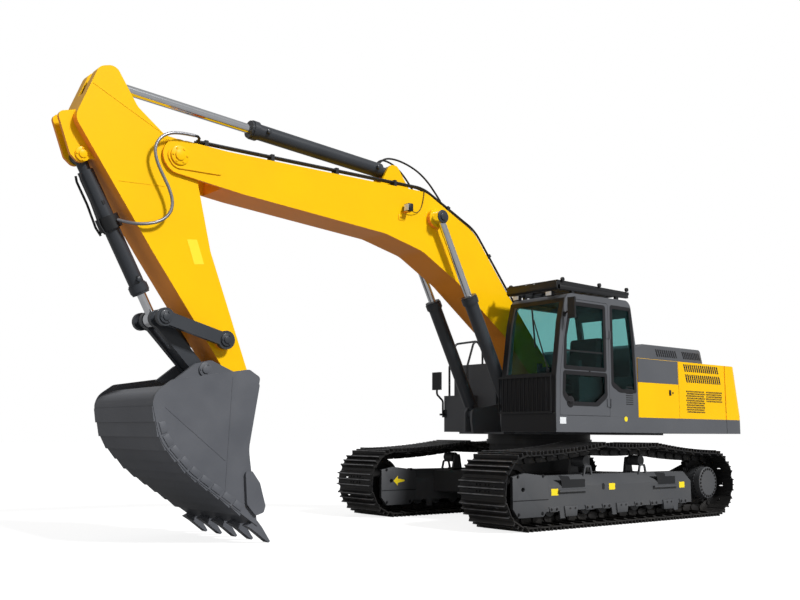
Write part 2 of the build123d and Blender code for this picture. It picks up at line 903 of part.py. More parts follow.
with BuildPart() as cab_glass:
    pane(quarter, house_half - 25, house_half - 25 + glass_thickness)
    pane(right_window, cab_inner + 17, cab_inner + 17 + glass_thickness)
    add(windscreen.part)
    add(rear_pane.part)
save(cab_glass, "cab_glass")

seat_y = (cab_inner + house_half) / 2
floor = deck_top + cab_wall + seat_gap
with BuildPart() as seat:
    block(150, 450, seat_y - 200, seat_y + 200, floor, floor + 280)
    plate([(80, floor + 280), (640, floor + 280), (660, floor + 400, 50), (80, floor + 400)], seat_y - 260, seat_y + 260)
    plate([(80, floor + 280), (220, floor + 280), (130, floor + 1060, 60), (-10, floor + 1060, 60)], seat_y - 240, seat_y + 240)
save(seat, "seat")

with BuildPart() as consoles:
    for side in (-1, 1):
        low, high = sorted((seat_y + side * 290, seat_y + side * 420))
        block(100, 760, low, high, floor, floor + 480)
        block(640, 700, (low + high) / 2 - 25, (low + high) / 2 + 25, floor + 480, floor + 700)
save(consoles, "consoles")

def roof_line(x):
    """Height just over the sloping cab roof."""
    return 3060 + (1075 - x) * 15 / 1375 + seat_gap


with BuildPart() as roof_guard:
    guard_low = cab_inner + 40
    guard_high = house_half - 30
    plate([(1210, 3165), (1210, 3225), (-330, 3205), (-330, 3165)], guard_low, guard_high)
    plate([(1150, 3140), (1150, 3300), (-270, 3300), (-270, 3140)], guard_low + 60, guard_high - 60, Mode.SUBTRACT)
    for index in range(8):
        bar_x = -200 + index * 180
        block(bar_x, bar_x + 40, guard_low + 60, guard_high - 60, 3170, 3200)
    for leg_x in (-100, 850):
        leg = [(leg_x, roof_line(leg_x)), (leg_x + 60, roof_line(leg_x + 60)), (leg_x + 60, 3170), (leg_x, 3170)]
        for leg_y in (guard_low + 10, guard_high - 50):
            plate(leg, leg_y, leg_y + 40)
save(roof_guard, "roof_guard")

guard_side = cab_inner - 18
with BuildPart() as front_guard:
    block(1330, 1345, guard_side, house_half - 60, 1455, 1480)
    block(1330, 1345, guard_side, house_half - 60, 1930, 1955)
    for index in range(13):
        bar_y = guard_side + index * (house_half - 60 - guard_side - 12) / 12
        block(1330, 1345, bar_y, bar_y + 12, 1480, 1930)
    for bracket_y in (cab_inner + 10, house_half - 100):
        block(skirt_front - 0.8, 1330, bracket_y, bracket_y + 30, 1460, 1475)
        block(1296.6, 1330, bracket_y, bracket_y + 30, 1935, 1945)
save(front_guard, "front_guard")


# Mirrors and handrails

with BuildPart() as mirrors:
    block(690, 735, -1590, -1410, 1870, 2150)
    tube(in_row([(712, 1880), (712, 1800), (585, 1700), (585, 1500)], -1500), 16, 60)
    block(566, 620, -1540, -1460, 1470, 1500)
    block(box_front + seat_gap, 575, -1530, -1440, 1440, 1560)
    block(1102, 1130, house_half + 68, house_half + 188, 2700, 2980)
    mirror_arm = [(1122, house_half + 12, 2765), (1122, house_half + 48, 2790), (1116, house_half + 100, 2800)]
    tube([(swing_x + x, y, z) for x, y, z in mirror_arm], 12, 20)
    block(1100, 1145, house_half + seat_gap, house_half + 16, 2735, 2795)
save(mirrors, "mirrors")

with BuildPart() as handrails:
    rail = [(500, box_top + pin_gap), (500, 2240), (360, 2620), (-120, 2700), (-240, 2560), (-240, panel_top + pin_gap)]
    for rail_y in (-house_half + 60, box_inner - 60):
        tube(in_row(rail, rail_y), 17, 90)
save(handrails, "handrails")


# Boom: bent box beam with a fork for the arm at its tip

boom_outline = [
    (foot_pin[0] - 190, foot_pin[1] - 60, 150),
    (foot_pin[0] + 60, foot_pin[1] - 185, 150),
    (960, 2560, 300),
    (1900, 3260, 500),
    (2530, 3610, 500),
    (3170, 3765, 500),
    (5300, 3925, 300),
    (tip_pin[0] + 130, tip_pin[1] - 190, 180),
    (tip_pin[0] + 210, tip_pin[1] + 60, 180),
    (tip_pin[0] - 60, tip_pin[1] + 190, 150),
    (5520, 4395, 500),
    (2480, 4440, 400),
    (1560, 4000, 700),
    (950, 3240, 700),
    (foot_pin[0] - 170, foot_pin[1] + 160, 150),
]


def hollow_beam(points, half, wall):
    """Closed box beam of welded plates."""
    with BuildSketch(side_plane(half)) as outer:
        with BuildLine():
            draw(points)
        make_face()
    extrude(outer.sketch, amount=2 * half)
    with BuildSketch(side_plane(half - wall)) as inner:
        add(grow(points, -wall))
    extrude(inner.sketch, amount=2 * (half - wall), mode=Mode.SUBTRACT)


with BuildPart() as boom:
    hollow_beam(boom_outline, boom_half, boom_wall)
    disc(tip_pin, 190, -boom_half, boom_half)
    disc(foot_pin, 170, -ear_inner + pin_gap, ear_inner - pin_gap)
    fork_slot = [
        (5560, 3500),
        (6700, 3500),
        (6700, 4800),
        (5560, 4800),
    ]
    plate([(5520, 3960), (5560, 3965), (5560, 4385), (5520, 4385)], -boom_half + boom_wall, boom_half - boom_wall)
    plate(fork_slot, -arm_half - fork_gap, arm_half + fork_gap, Mode.SUBTRACT)
    disc(tip_pin, 70, -arm_half - fork_gap, arm_half + fork_gap)
    fork_pad = [
        (tip_pin[0] - 520, tip_pin[1] - 130, 40),
        (tip_pin[0] + 60, tip_pin[1] - 150, 130),
        (tip_pin[0] + 175, tip_pin[1] + 20, 130),
        (tip_pin[0] - 20, tip_pin[1] + 150, 120),
        (tip_pin[0] - 300, tip_pin[1] + 60, 100),
        (tip_pin[0] - 560, tip_pin[1] - 60, 40),
    ]
    for side in (1, -1):
        plate(fork_pad, *span(side, boom_half, boom_half + pad_thickness))
        disc(lift_pin, 130, *span(side, 0, lift_offset - lift_eye - pin_gap))
        crowd_ear = [
            (crowd_base[0] - 330, 4400),
            (crowd_base[0] + 260, 4400),
            (crowd_base[0] + 95, crowd_base[1] + 40, 60),
            (crowd_base[0] + 40, crowd_base[1] + 95, 60),
            (crowd_base[0] - 60, crowd_base[1] + 95, 60),
        ]
        plate(crowd_ear, *span(side, eye_half + pin_gap, eye_half + 45))
save(boom, "boom")

# Free hoses: points (x, y, z) from the swing axis, each with its own route

bucket_hose_route = [
    (5978, 318, 4472),
    (6130, 322, 4470),
    (6290, 326, 4435),
    (6405, 330, 4345),
    (6448, 330, 4215),
    (6410, 330, 4075),
    (6330, 330, 3935),
    (6250, 330, 3800),
    (6205, 330, 3660),
    (6230, 325, 3530),
    (6335, 312, 3432),
    (6480, 292, 3384),
    (6630, 235, 3380),
    (6738, 132, 3422),
]
arm_hose_route = [
    (2194, 198, 4406),
    (2275, 192, 4500),
    (2385, 180, 4620),
    (2540, 150, 4745),
    (2720, 105, 4830),
    (2900, 70, 4868),
    (3050, 45, 4850),
    (3110, 35, 4783.2),
]
hose_start = bucket_hose_route[0]


def hose(route, radius, side, name):
    """Plain tube of one free hose, with arcs as large as its runs allow."""
    points = [Vector(swing_x + x, side * y, z) for x, y, z in route]
    radii = []
    for back, here, ahead in zip(points, points[1:], points[2:]):
        run = min((here - back).length, (ahead - here).length)
        turn = (here - back).get_angle(ahead - here)
        radii.append(0.45 * run / math.tan(math.radians(max(turn, 2)) / 2))
    with BuildPart() as cord:
        tube(points, radius, radii)
    print(name, "length", round(cord.part.volume / (math.pi * radius**2)), "arcs", [round(value) for value in radii])
    save(cord, name)


# Pipes along both top edges of the boom, held by clamps that stand on it
pipe_line = [(5900, 4450), (5480, 4455), (2500, 4500), (1530, 4050), (900, 3282), (690, 3044)]
clamp_reaches = [120, 1000, 1950, 2900, 3900, 4900, 5700]
with BuildLine(side_plane(0)) as pipe_route:
    FilletPolyline(*pipe_line, radius=600)
with BuildPart() as boom_pipes:
    route_wire = pipe_route.wire()
    for side in (1, -1):
        for reach in clamp_reaches:
            middle = route_wire.position_at(reach, position_mode=PositionMode.LENGTH)
            way = route_wire.tangent_at(reach, position_mode=PositionMode.LENGTH)
            corners = [
                (middle.X - swing_x + way.X * run + way.Z * rise, middle.Z + way.Z * run - way.X * rise)
                for run, rise in ((-22, 26), (22, 26), (22, -140), (-22, -140))
            ]
            plate(corners, *span(side, boom_half - 112, boom_half - 12))
    with BuildSketch(side_plane(boom_half + 1)) as beam:
        add(grow(boom_outline, seat_gap))
    extrude(beam.sketch, amount=2 * (boom_half + 1), mode=Mode.SUBTRACT)
    for side in (1, -1):
        for pipe_y in (boom_half - 35, boom_half - 85):
            tube(in_row(pipe_line, side * pipe_y), pipe_radius, 600)
    tail_run = [
        (5880, boom_half - 35, 4450),
        (5900, 290, 4462),
        (5935, hose_start[1], 4471),
        (hose_start[0] - 0.9, *hose_start[1:]),
    ]
    tube([(swing_x + x, y, z) for x, y, z in tail_run], pipe_radius, 14)
    for side in (1, -1):
        stub_run = [(2150, 187, 4338), (2168, 200, 4376), (2193.6, 198, 4405.5)]
        tube([(swing_x + x, side * y, z) for x, y, z in stub_run], arm_hose_radius, 14)
save(boom_pipes, "boom_pipes")


# Hydraulic cylinders

def barrel(base, pin, y, bore, outer, rod, length, eye):
    """Cylinder barrel with its base eye, open at the gland for the rod."""
    disc(base, outer - 5, y - eye, y + eye)
    bar(base, pin, y, eye - 2, 60, neck_length + 5)
    bar(base, pin, y, outer, neck_length, length)
    bar(base, pin, y, outer + 10, length - 120, length)
    bar(base, pin, y, bore, neck_length + 30, length - gland_length, Mode.SUBTRACT)
    bar(base, pin, y, rod + seat_gap, length - gland_length - 1, length + 1, Mode.SUBTRACT)


def piston_rod(base, pin, y, bore, rod, start, eye):
    """Piston rod with its piston and its rod eye."""
    full = distance(base, pin)
    bar(base, pin, y, rod, start, full - 60)
    bar(base, pin, y, bore - seat_gap, start, start + piston_length)
    disc(pin, rod + 38, y - eye, y + eye)


for side, name in ((1, "left"), (-1, "right")):
    with BuildPart() as lift_barrel:
        barrel(lift_base, lift_pin, side * lift_offset, lift_bore, lift_outer, lift_rod, 1800, lift_base_eye)
    save(lift_barrel, "boom_cylinder_" + name)
    with BuildPart() as lift_rod_part:
        piston_rod(lift_base, lift_pin, side * lift_offset, lift_bore, lift_rod, 1115, lift_eye)
    save(lift_rod_part, "boom_rod_" + name)

with BuildPart() as arm_cylinder:
    barrel(crowd_base, crowd_pin, 0, crowd_bore, crowd_outer, crowd_rod, 2180, eye_half)
save(arm_cylinder, "arm_cylinder")
with BuildPart() as arm_rod:
    piston_rod(crowd_base, crowd_pin, 0, crowd_bore, crowd_rod, 1740, eye_half)
save(arm_rod, "arm_rod")

with BuildPart() as bucket_cylinder:
    barrel(curl_base, rod_pin, 0, curl_bore, curl_outer, curl_rod, 1600, eye_half)
save(bucket_cylinder, "bucket_cylinder")

with BuildPart() as cylinder_pipes:
    for side in (1, -1):
        run = [toward(curl_base, rod_pin, reach, offset) for reach, offset in curl_pipe_line]
        tube(in_row(run, side * 60), 13, 28)
        for reach in (520, 1400):
            bar(curl_base, rod_pin, side * 60, 30, reach, reach + 45)
    bar(curl_base, rod_pin, 0, curl_outer + 40, 690, 840)
    bar(curl_base, rod_pin, 0, curl_outer + seat_gap, 100, 1600, Mode.SUBTRACT)
save(cylinder_pipes, "cylinder_pipes")

hose(bucket_hose_route, bucket_hose_radius, 1, "bucket_hose")
for side, name in ((1, "arm_hose_left"), (-1, "arm_hose_right")):
    hose(arm_hose_route, arm_hose_radius, side, name)
with BuildPart() as bucket_rod:
    piston_rod(curl_base, rod_pin, 0, curl_bore, curl_rod, 300, eye_half)
save(bucket_rod, "bucket_rod")


# Arm: tapered box beam with its cylinder brackets

arm_outline = [
    (bucket_pin[0] - 140, bucket_pin[1] - 60, 130),
    (bucket_pin[0] + 90, bucket_pin[1] - 140, 130),
    (bucket_pin[0] + 160, bucket_pin[1] + 60, 100),
    (5470, 1900, 200),
    (6370, 3120, 400),
    (7290, 4430, 150),
    (7150, 4800, 300),
    (crowd_pin[0] + 120, crowd_pin[1] + 90, 110),
    (crowd_pin[0] - 60, crowd_pin[1] + 150, 110),
    (6610, 4690, 150),
    (6280, 4440, 150),
    (tip_pin[0] - 120, tip_pin[1] + 190, 150),
    (tip_pin[0] - 210, tip_pin[1] - 60, 100),
    (5670, 3200, 300),
    (5140, 1850, 200),
]
lobe_plate = [
    (7200, 4450),
    (7120, 4790, 200),
    (crowd_pin[0] + 115, crowd_pin[1] + 85, 110),
    (crowd_pin[0] - 60, crowd_pin[1] + 140, 110),
    (6625, 4690, 150),
    (6500, 4400),
]
with BuildPart() as arm:
    hollow_beam(arm_outline, arm_half, arm_wall)
    disc(tip_pin, 150, -arm_half, arm_half)
    disc(tip_pin, 70 + seat_gap, -arm_half, arm_half, Mode.SUBTRACT)
    disc(bucket_pin, 100, -arm_half - ear_gap + pin_gap, arm_half + ear_gap - pin_gap)
    lobe_slot = [
        (crowd_pin[0] - 500, crowd_pin[1] - 260),
        (crowd_pin[0] + 230, crowd_pin[1] - 260),
        (crowd_pin[0] + 230, crowd_pin[1] + 300),
        (crowd_pin[0] - 500, crowd_pin[1] + 300),
    ]
    for side in (1, -1):
        plate(lobe_plate, *span(side, eye_half + pin_gap, eye_half + 45))
        disc(rocker_pin, 95, *span(side, 0, rocker_inner - pin_gap))
        curl_ear = [
            (7180, 4560, 40),
            (7440, 4480, 60),
            (curl_base[0] + 130, curl_base[1] - 20, 60),
            (curl_base[0] + 20, curl_base[1] - 110, 80),
            (curl_base[0] - 110, curl_base[1] - 20, 60),
            (6900, 3950),
        ]
        plate(curl_ear, *span(side, eye_half + pin_gap, eye_half + 45))
    plate(lobe_slot, -eye_half - pin_gap, eye_half + pin_gap, Mode.SUBTRACT)
save(arm, "arm")


# Bucket linkage

with BuildPart() as rocker:
    for side in (1, -1):
        with BuildSketch(side_plane(max(span(side, rocker_inner, rocker_outer)))) as rocker_side:
            with Locations(rocker_pin):
                Circle(105)
            with Locations(rod_pin):
                Circle(100)
            with BuildLine():
                draw([toward(rocker_pin, rod_pin, 0, 75), toward(rocker_pin, rod_pin, 0, -75),
                      toward(rocker_pin, rod_pin, 766, -70), toward(rocker_pin, rod_pin, 766, 70)])
            make_face()
        extrude(rocker_side.sketch, amount=rocker_outer - rocker_inner)
save(rocker, "rocker")

link_length = distance(rod_pin, ear_pin)
with BuildPart() as bucket_link:
    for side in (1, -1):
        low, high = span(side, eye_half + eye_clearance, eye_half + eye_clearance + 70)
        disc(rod_pin, 95, low, high)
        disc(ear_pin, 76, low, high)
        plate(
            [toward(rod_pin, ear_pin, 0, 80), toward(rod_pin, ear_pin, 0, -80),
             toward(rod_pin, ear_pin, link_length, -75), toward(rod_pin, ear_pin, link_length, 75)],
            low, high,
        )
        disc(rod_pin, 55, *span(side, eye_half + eye_clearance + 70, rocker_inner - pin_gap))
        disc(ear_pin, 60, *span(side, eye_half + eye_clearance + 70, arm_half + ear_gap - pin_gap))
    plate(
        [toward(rod_pin, ear_pin, 380, 60), toward(rod_pin, ear_pin, 380, -60),
         toward(rod_pin, ear_pin, link_length, -60), toward(rod_pin, ear_pin, link_length, 60)],
        -eye_half - eye_clearance, eye_half + eye_clearance,
    )
save(bucket_link, "bucket_link")


# Bucket: rolled shell, side plates, lip, hinge ears

lip = (5290, 190)
bucket_outline = [
    lip,
    (6110, 745, 200),
    (6440, 1080, 500),
    (6560, 1540, 330),
    (6330, 1705, 100),
    (5440, 1850, 60),
    (5305, 1770, 40),
    (5420, 1000, 500),
]
cavity_outline = [
    (lip[0] + 20, lip[1] + 45),
    (6090, 782, 200),
    (6412, 1100, 500),
    (6524, 1530, 300),
    (6320, 1610, 80),
    (5590, 1708),
    (5200, 1760),
    (4900, 1400),
    (5000, 200),
]
shell_outline = [
    lip,
    (6110, 745, 200),
    (6440, 1080, 500),
    (6560, 1540, 330),
    (6330, 1640, 100),
    (5440, 1760, 60),
    (5305, 1700, 40),
    (5420, 1000, 500),
]

def shell_bars():
    """Corners of the stepped wear bars laid along the back of the shell."""
    with BuildLine() as back:
        draw(shell_outline)
    wire = back.wire()
    steps_round = 400
    shares = [step / steps_round for step in range(steps_round)]
    lip_share = min(shares, key=lambda share: (wire.position_at(share) - Vector(*lip)).length)
    corners = []
    for index in range(bar_count):
        reach = lip_share * wire.length + bar_start + index * bar_pitch
        near = wire.position_at(reach, position_mode=PositionMode.LENGTH)
        far = wire.position_at(reach + bar_pitch - 2, position_mode=PositionMode.LENGTH)
        way = (far - near).normalized()
        steps = ((near, -bar_sink), (far, -bar_sink), (far, bar_low), (near, bar_high))
        corners.append([(spot.X + way.Y * rise, spot.Y - way.X * rise) for spot, rise in steps])
    return corners


wear_bars = shell_bars()
with BuildPart() as bucket:
    plate(shell_outline, -bucket_half, bucket_half)
    for side in (1, -1):
        plate(bucket_outline, *span(side, bucket_half - bucket_wall, bucket_half))
    plate(cavity_outline, -bucket_half + bucket_wall, bucket_half - bucket_wall, Mode.SUBTRACT)
    for corners in wear_bars:
        plate(corners, -bucket_half + 6, bucket_half - 6)
    plate([(5100, 1500), (5560, 1500), (5560, 2000), (5100, 2000)], -300, 300, Mode.SUBTRACT)
    for side in (1, -1):
        ear = [
            (bucket_pin[0] - 125, bucket_pin[1] - 40, 110),
            (bucket_pin[0] + 40, bucket_pin[1] - 130, 110),
            (5600, 1640),
            (6050, 1745),
            (ear_pin[0] + 120, ear_pin[1] + 60, 90),
            (ear_pin[0] - 70, ear_pin[1] + 110, 90),
            (bucket_pin[0] - 40, bucket_pin[1] + 130, 110),
        ]
        plate(ear, *span(side, arm_half + ear_gap, arm_half + ear_gap + 50))
save(bucket, "bucket")

cutter_outline = [
    (5470, 760, 30),
    (5390, 770, 30),
    (5290, 640, 60),
    (5215, 400, 30),
    (5235, 330, 30),
    (5330, 300, 30),
    (5440, 420, 60),
]
with BuildPart() as side_cutters:
    for side in (1, -1):
        plate(cutter_outline, *span(side, bucket_half + seat_gap, bucket_half + cutter_thickness))
save(side_cutters, "side_cutters")

with BuildPart() as bucket_teeth:
    tooth_step = (2 * bucket_half - tooth_width - 20) / (tooth_count - 1)
    for index in range(tooth_count):
        center_y = -bucket_half + tooth_width / 2 + 10 + index * tooth_step
        tooth = [
            (lip[0] + 120, lip[1] + 5),
            (lip[0] + 2, lip[1] + 60),
            (lip[0] - 60, lip[1] - 10),
            (lip[0] - 170, lip[1] - 170),
            (lip[0] - 150, lip[1] - 185),
            (lip[0] + 30, lip[1] - 50),
        ]
        plate(tooth, center_y - tooth_width / 2, center_y + tooth_width / 2)
    plate(shell_outline, -bucket_half, bucket_half, Mode.SUBTRACT)
    for corners in wear_bars:
        plate(corners, -bucket_half, bucket_half, Mode.SUBTRACT)
save(bucket_teeth, "bucket_teeth")
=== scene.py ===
"""Crawler excavator: its finishes, the detail on its frame, the light and the camera."""
import logging
import math
from dataclasses import dataclass
from enum import Enum

import bmesh
import bpy
from mathutils import Matrix, Vector


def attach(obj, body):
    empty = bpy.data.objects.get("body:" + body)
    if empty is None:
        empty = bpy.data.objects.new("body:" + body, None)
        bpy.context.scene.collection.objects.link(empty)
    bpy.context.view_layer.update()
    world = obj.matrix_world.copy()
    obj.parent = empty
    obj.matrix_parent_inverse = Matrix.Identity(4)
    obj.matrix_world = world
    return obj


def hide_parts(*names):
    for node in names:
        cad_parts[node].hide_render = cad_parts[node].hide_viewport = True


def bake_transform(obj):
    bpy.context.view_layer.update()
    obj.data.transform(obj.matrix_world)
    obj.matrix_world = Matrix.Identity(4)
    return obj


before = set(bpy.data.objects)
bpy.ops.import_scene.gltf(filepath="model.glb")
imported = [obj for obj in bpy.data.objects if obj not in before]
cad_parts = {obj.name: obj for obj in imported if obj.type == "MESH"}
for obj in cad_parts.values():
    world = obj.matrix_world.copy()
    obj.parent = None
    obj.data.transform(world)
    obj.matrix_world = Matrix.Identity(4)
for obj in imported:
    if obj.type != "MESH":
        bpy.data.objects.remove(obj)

LOG = logging.getLogger("excavator")
SWING_X = -1.985
SHARP_ANGLE = 35.0
# Faces turned this way get painted shade in the finishes that have it.
PAINTED_SHADE_WAY = (0.6, -0.35, -0.72)
Point = tuple[float, float, float]
Flat = tuple[float, float]
Line = tuple[Flat, ...]
Place = Point | Vector


class Slot(Enum):
    """Material slots of the record."""

    YELLOW = "yellow_paint"
    GREY = "grey_paint"
    DARK = "dark_paint"
    CHROME = "chrome"
    GLASS = "glass"
    STEEL = "bare_steel"
    RUBBER = "rubber"
    FABRIC = "fabric"
    PLASTIC = "plastic"
    ENGINE = "engine"


class Along(Enum):
    """Row axis that a flat outline is pushed along."""

    X = 0
    Y = 1
    Z = 2


@dataclass
class Tree:
    """Node tree of a material or of the world."""

    owner: bpy.types.Material | bpy.types.World

    def __post_init__(self) -> None:
        """Turn the nodes on."""
        self.owner.use_nodes = True

    def fill(self, node: bpy.types.Node | str, values: dict) -> bpy.types.Node:
        """Set or link inputs of a node.

        Args:
            node: The node, or the name of one that is there.
            values: A value or a socket for each input, by its name or its place.

        Returns:
            The node.
        """
        tree = self.owner.node_tree
        if isinstance(node, str):
            node = tree.nodes[node]
        for key, value in values.items():
            if isinstance(value, bpy.types.NodeSocket):
                tree.links.new(value, node.inputs[key])
            else:
                node.inputs[key].default_value = value
        return node

    def add(self, kind: str, values: dict | None = None, **settings: str) -> bpy.types.Node:
        """Add a node.

        Args:
            kind: Its type, without the prefix.
            values: A value or a socket for each input.
            settings: Its attributes.

        Returns:
            The node.
        """
        node = self.owner.node_tree.nodes.new("ShaderNode" + kind)
        for name, value in settings.items():
            setattr(node, name, value)
        return self.fill(node, values or {})

    def seen(self) -> bpy.types.NodeSocket:
        """Share of the rays that the camera sees, also through glass."""
        rays = self.add("LightPath").outputs
        both = {0: rays["Is Camera Ray"], 1: rays["Is Transmission Ray"]}
        return self.add("Math", both, operation="MAXIMUM").outputs[0]


@dataclass(frozen=True)
class Finish:
    """One finish with its colour, its fine grain and its slow change of shade."""

    name: str
    slot: Slot
    color: Point
    roughness: float = 0.4
    metallic: float = 0.0
    coat: float = 0.0
    second: Point = (0.1, 0.09, 0.08)
    blotch_scale: float = 1.6
    blotch: float = 0.06
    grain_scale: float = 220.0
    grain: float = 0.05
    dust_height: float = 0.0
    transmission: float = 0.0
    specular: float = 0.35
    index: float = 1.45
    # Colour of the painted shade on faces that look down and forward; None leaves it out.
    painted_shade: Point | None = None

    def build(self) -> bpy.types.Material:
        """Material of this finish.

        Returns:
            The material, made once for each name.
        """
        if self.name in bpy.data.materials:
            return bpy.data.materials[self.name]
        material = bpy.data.materials.new(self.name)
        tree = Tree(material)
        place = tree.add("TexCoord").outputs
        slow = self.noise(tree, place["Object"], self.blotch_scale, 5.0)
        fine = self.noise(tree, place["Object"], self.grain_scale, 3.0)
        amount = tree.add("MapRange", {"Value": slow, "From Min": 0.35, "From Max": 0.75, "To Max": self.blotch})
        factor = amount.outputs["Result"]
        if self.dust_height:
            factor = self.dusted(tree, place["Object"], factor)
        color = self.mixed(tree, factor, (*self.color, 1), self.second)
        # Painted shade: faces that look down and forward get the shade colour mixed in.
        if self.painted_shade:
            color = self.painted_shade_mix(tree, place["Normal"], color)
        rough = tree.add("MapRange", {"Value": slow, "To Min": self.roughness * 0.8,
                                      "To Max": min(1.0, self.roughness * 1.2)})
        bump = tree.add("Bump", {"Height": fine, "Strength": self.grain, "Distance": 0.002})
        tree.fill("Principled BSDF", {
            "Base Color": color, "Roughness": rough.outputs["Result"], "Normal": bump.outputs["Normal"],
            "Metallic": self.metallic, "Coat Weight": self.coat, "Coat Roughness": 0.08, "IOR": self.index,
            "Specular IOR Level": self.specular, "Transmission Weight": self.transmission})
        return material

    @staticmethod
    def noise(tree: Tree, place: bpy.types.NodeSocket, scale: float, detail: float) -> bpy.types.NodeSocket:
        """Noise on the piece's own coordinates.

        Args:
            tree: Nodes of the material.
            place: Socket with the coordinates.
            scale: Noise scale for each metre.
            detail: Octaves of the noise.

        Returns:
            The noise's value.
        """
        return tree.add("TexNoise", {"Vector": place, "Scale": scale, "Detail": detail}).outputs["Fac"]

    @staticmethod
    def mixed(tree: Tree, factor: bpy.types.NodeSocket, first: tuple | bpy.types.NodeSocket,
              second: Point) -> bpy.types.NodeSocket:
        """Mix of two colours.

        Args:
            tree: Nodes of the material.
            factor: Share of the second colour.
            first: First colour, or the socket with it.
            second: Second colour.

        Returns:
            The mixed colour.
        """
        return tree.add("Mix", {0: factor, 6: first, 7: (*second, 1)}, data_type="RGBA").outputs[2]

    def painted_shade_mix(self, tree: Tree, normal: bpy.types.NodeSocket, color: bpy.types.NodeSocket) -> bpy.types.NodeSocket:
        """Painted shade: a warmer, darker colour on the faces that look down and forward.

        Args:
            tree: Nodes of the material.
            normal: Socket with the face's direction.
            color: Socket with the colour.

        Returns:
            The colour with the painted shade mixed in.
        """
        turned = tree.add("VectorMath", {0: normal, 1: PAINTED_SHADE_WAY}, operation="DOT_PRODUCT").outputs["Value"]
        share = tree.add("MapRange", {"Value": turned, "From Min": 0.15, "From Max": 0.7, "To Max": 0.85})
        return self.mixed(tree, share.outputs["Result"], color, self.painted_shade)

    def dusted(self, tree: Tree, place: bpy.types.NodeSocket, factor: bpy.types.NodeSocket) -> bpy.types.NodeSocket:
        """More of the second colour near the ground.

        Args:
            tree: Nodes of the material.
            place: Socket with the coordinates.
            factor: Socket with the blotches' share.

        Returns:
            The share with the dust added.
        """
        height = tree.add("SeparateXYZ", {0: place}).outputs["Z"]
        fade = tree.add("MapRange", {"Value": height, "From Max": self.dust_height, "To Min": 0.35, "To Max": 0.0})
        return tree.add("Math", {0: fade.outputs["Result"], 1: factor}).outputs[0]


# The yellow paint has painted shade: faces that look down and forward turn orange-brown.
YELLOW = Finish("boom_yellow", Slot.YELLOW, (0.96, 0.55, 0.003), 0.36, coat=0.05, second=(0.85, 0.45, 0.002),
                blotch=0.4, grain=0.02, specular=0.12, painted_shade=(0.98, 0.3, 0.045))
GREY = Finish("panel_grey", Slot.GREY, (0.092, 0.097, 0.108), 0.5, coat=0.03, second=(0.12, 0.125, 0.135), blotch=0.4)
SLATE = Finish("cylinder_slate", Slot.GREY, (0.034, 0.038, 0.045), 0.36, coat=0.15, second=(0.055, 0.06, 0.068),
               blotch=0.4)
BUCKET = Finish("bucket_slate", Slot.GREY, (0.084, 0.089, 0.102), 0.45, coat=0.05, second=(0.13, 0.135, 0.15),
                blotch=0.5, blotch_scale=2.4, grain=0.08, grain_scale=140)
CHASSIS = Finish("chassis_grey", Slot.DARK, (0.07, 0.073, 0.079), 0.45, coat=0.05, second=(0.1, 0.1, 0.1),
                 blotch=0.4, grain=0.06)
DARK = Finish("frame_black", Slot.DARK, (0.012, 0.013, 0.015), 0.42, coat=0.05, second=(0.03, 0.03, 0.03),
              blotch=0.35, grain=0.06)
TRACK = Finish("track_steel", Slot.STEEL, (0.022, 0.022, 0.024), 0.42, metallic=0.5, second=(0.06, 0.056, 0.05),
               blotch_scale=5, blotch=0.4, grain=0.12, grain_scale=90, dust_height=0.4)
BOLT = Finish("bolt_steel", Slot.STEEL, (0.05, 0.05, 0.054), 0.35, metallic=0.7, blotch_scale=14, blotch=0.4)
CHROME = Finish("rod_chrome", Slot.CHROME, (0.82, 0.84, 0.87), 0.12, metallic=1.0, second=(0.6, 0.62, 0.66),
                blotch_scale=9, blotch=0.25, grain=0.01)
GLASS = Finish("cab_glass_tint", Slot.GLASS, (0.36, 0.6, 0.59), 0.02, second=(0.32, 0.55, 0.54), blotch=0.2,
               grain=0.0, transmission=1.0, specular=0.2, index=1.15)
RUBBER = Finish("hose_rubber", Slot.RUBBER, (0.01, 0.01, 0.011), 0.55, second=(0.03, 0.03, 0.03), blotch_scale=20,
                blotch=0.4, grain=0.12, grain_scale=400)
BRAID = Finish("hose_braid", Slot.CHROME, (0.34, 0.34, 0.36), 0.38, metallic=0.8, second=(0.12, 0.12, 0.13),
               blotch_scale=160, blotch=0.7, grain=0.3, grain_scale=300)
FABRIC = Finish("seat_cloth", Slot.FABRIC, (0.014, 0.014, 0.016), 0.9, second=(0.03, 0.03, 0.034), blotch_scale=60,
                blotch=0.5, grain=0.5, grain_scale=700)
PLASTIC = Finish("cab_plastic", Slot.PLASTIC, (0.012, 0.012, 0.014), 0.4, second=(0.025, 0.025, 0.028), blotch=0.3,
                 grain=0.2, grain_scale=500)
SIGN = Finish("sign_yellow", Slot.YELLOW, (0.98, 0.75, 0.02), 0.5, second=(0.9, 0.66, 0.02), blotch=0.3)
PALE = Finish("lamp_lens", Slot.GLASS, (0.8, 0.82, 0.84), 0.15, second=(0.65, 0.67, 0.7), blotch_scale=60, blotch=0.5)
WORN = Finish("worn_edge", Slot.STEEL, (0.26, 0.26, 0.27), 0.34, metallic=0.85, second=(0.08, 0.08, 0.08),
              blotch_scale=9, blotch=0.8)
IRON = Finish("engine_iron", Slot.ENGINE, (0.12, 0.12, 0.125), 0.6, metallic=0.2, blotch=0.4)


def soften(work: bmesh.types.BMesh, width: float) -> None:
    """Bevel the sharp edges of a mesh.

    Args:
        work: The mesh.
        width: Width of the bevel, or 0 for none.
    """
    if width:
        sharp = [edge for edge in work.edges if edge.calc_face_angle(0) > 1.0]
        bmesh.ops.bevel(work, geom=sharp, offset=width, segments=2, profile=0.5, affect="EDGES", material=-1,
                        clamp_overlap=True)


def between(start: Place, end: Place) -> Matrix:
    """Matrix of the middle between two points, with Z along their line."""
    first, last = Vector(start), Vector(end)
    return Matrix.Translation((first + last) / 2) @ (last - first).to_track_quat("Z", "Y").to_matrix().to_4x4()


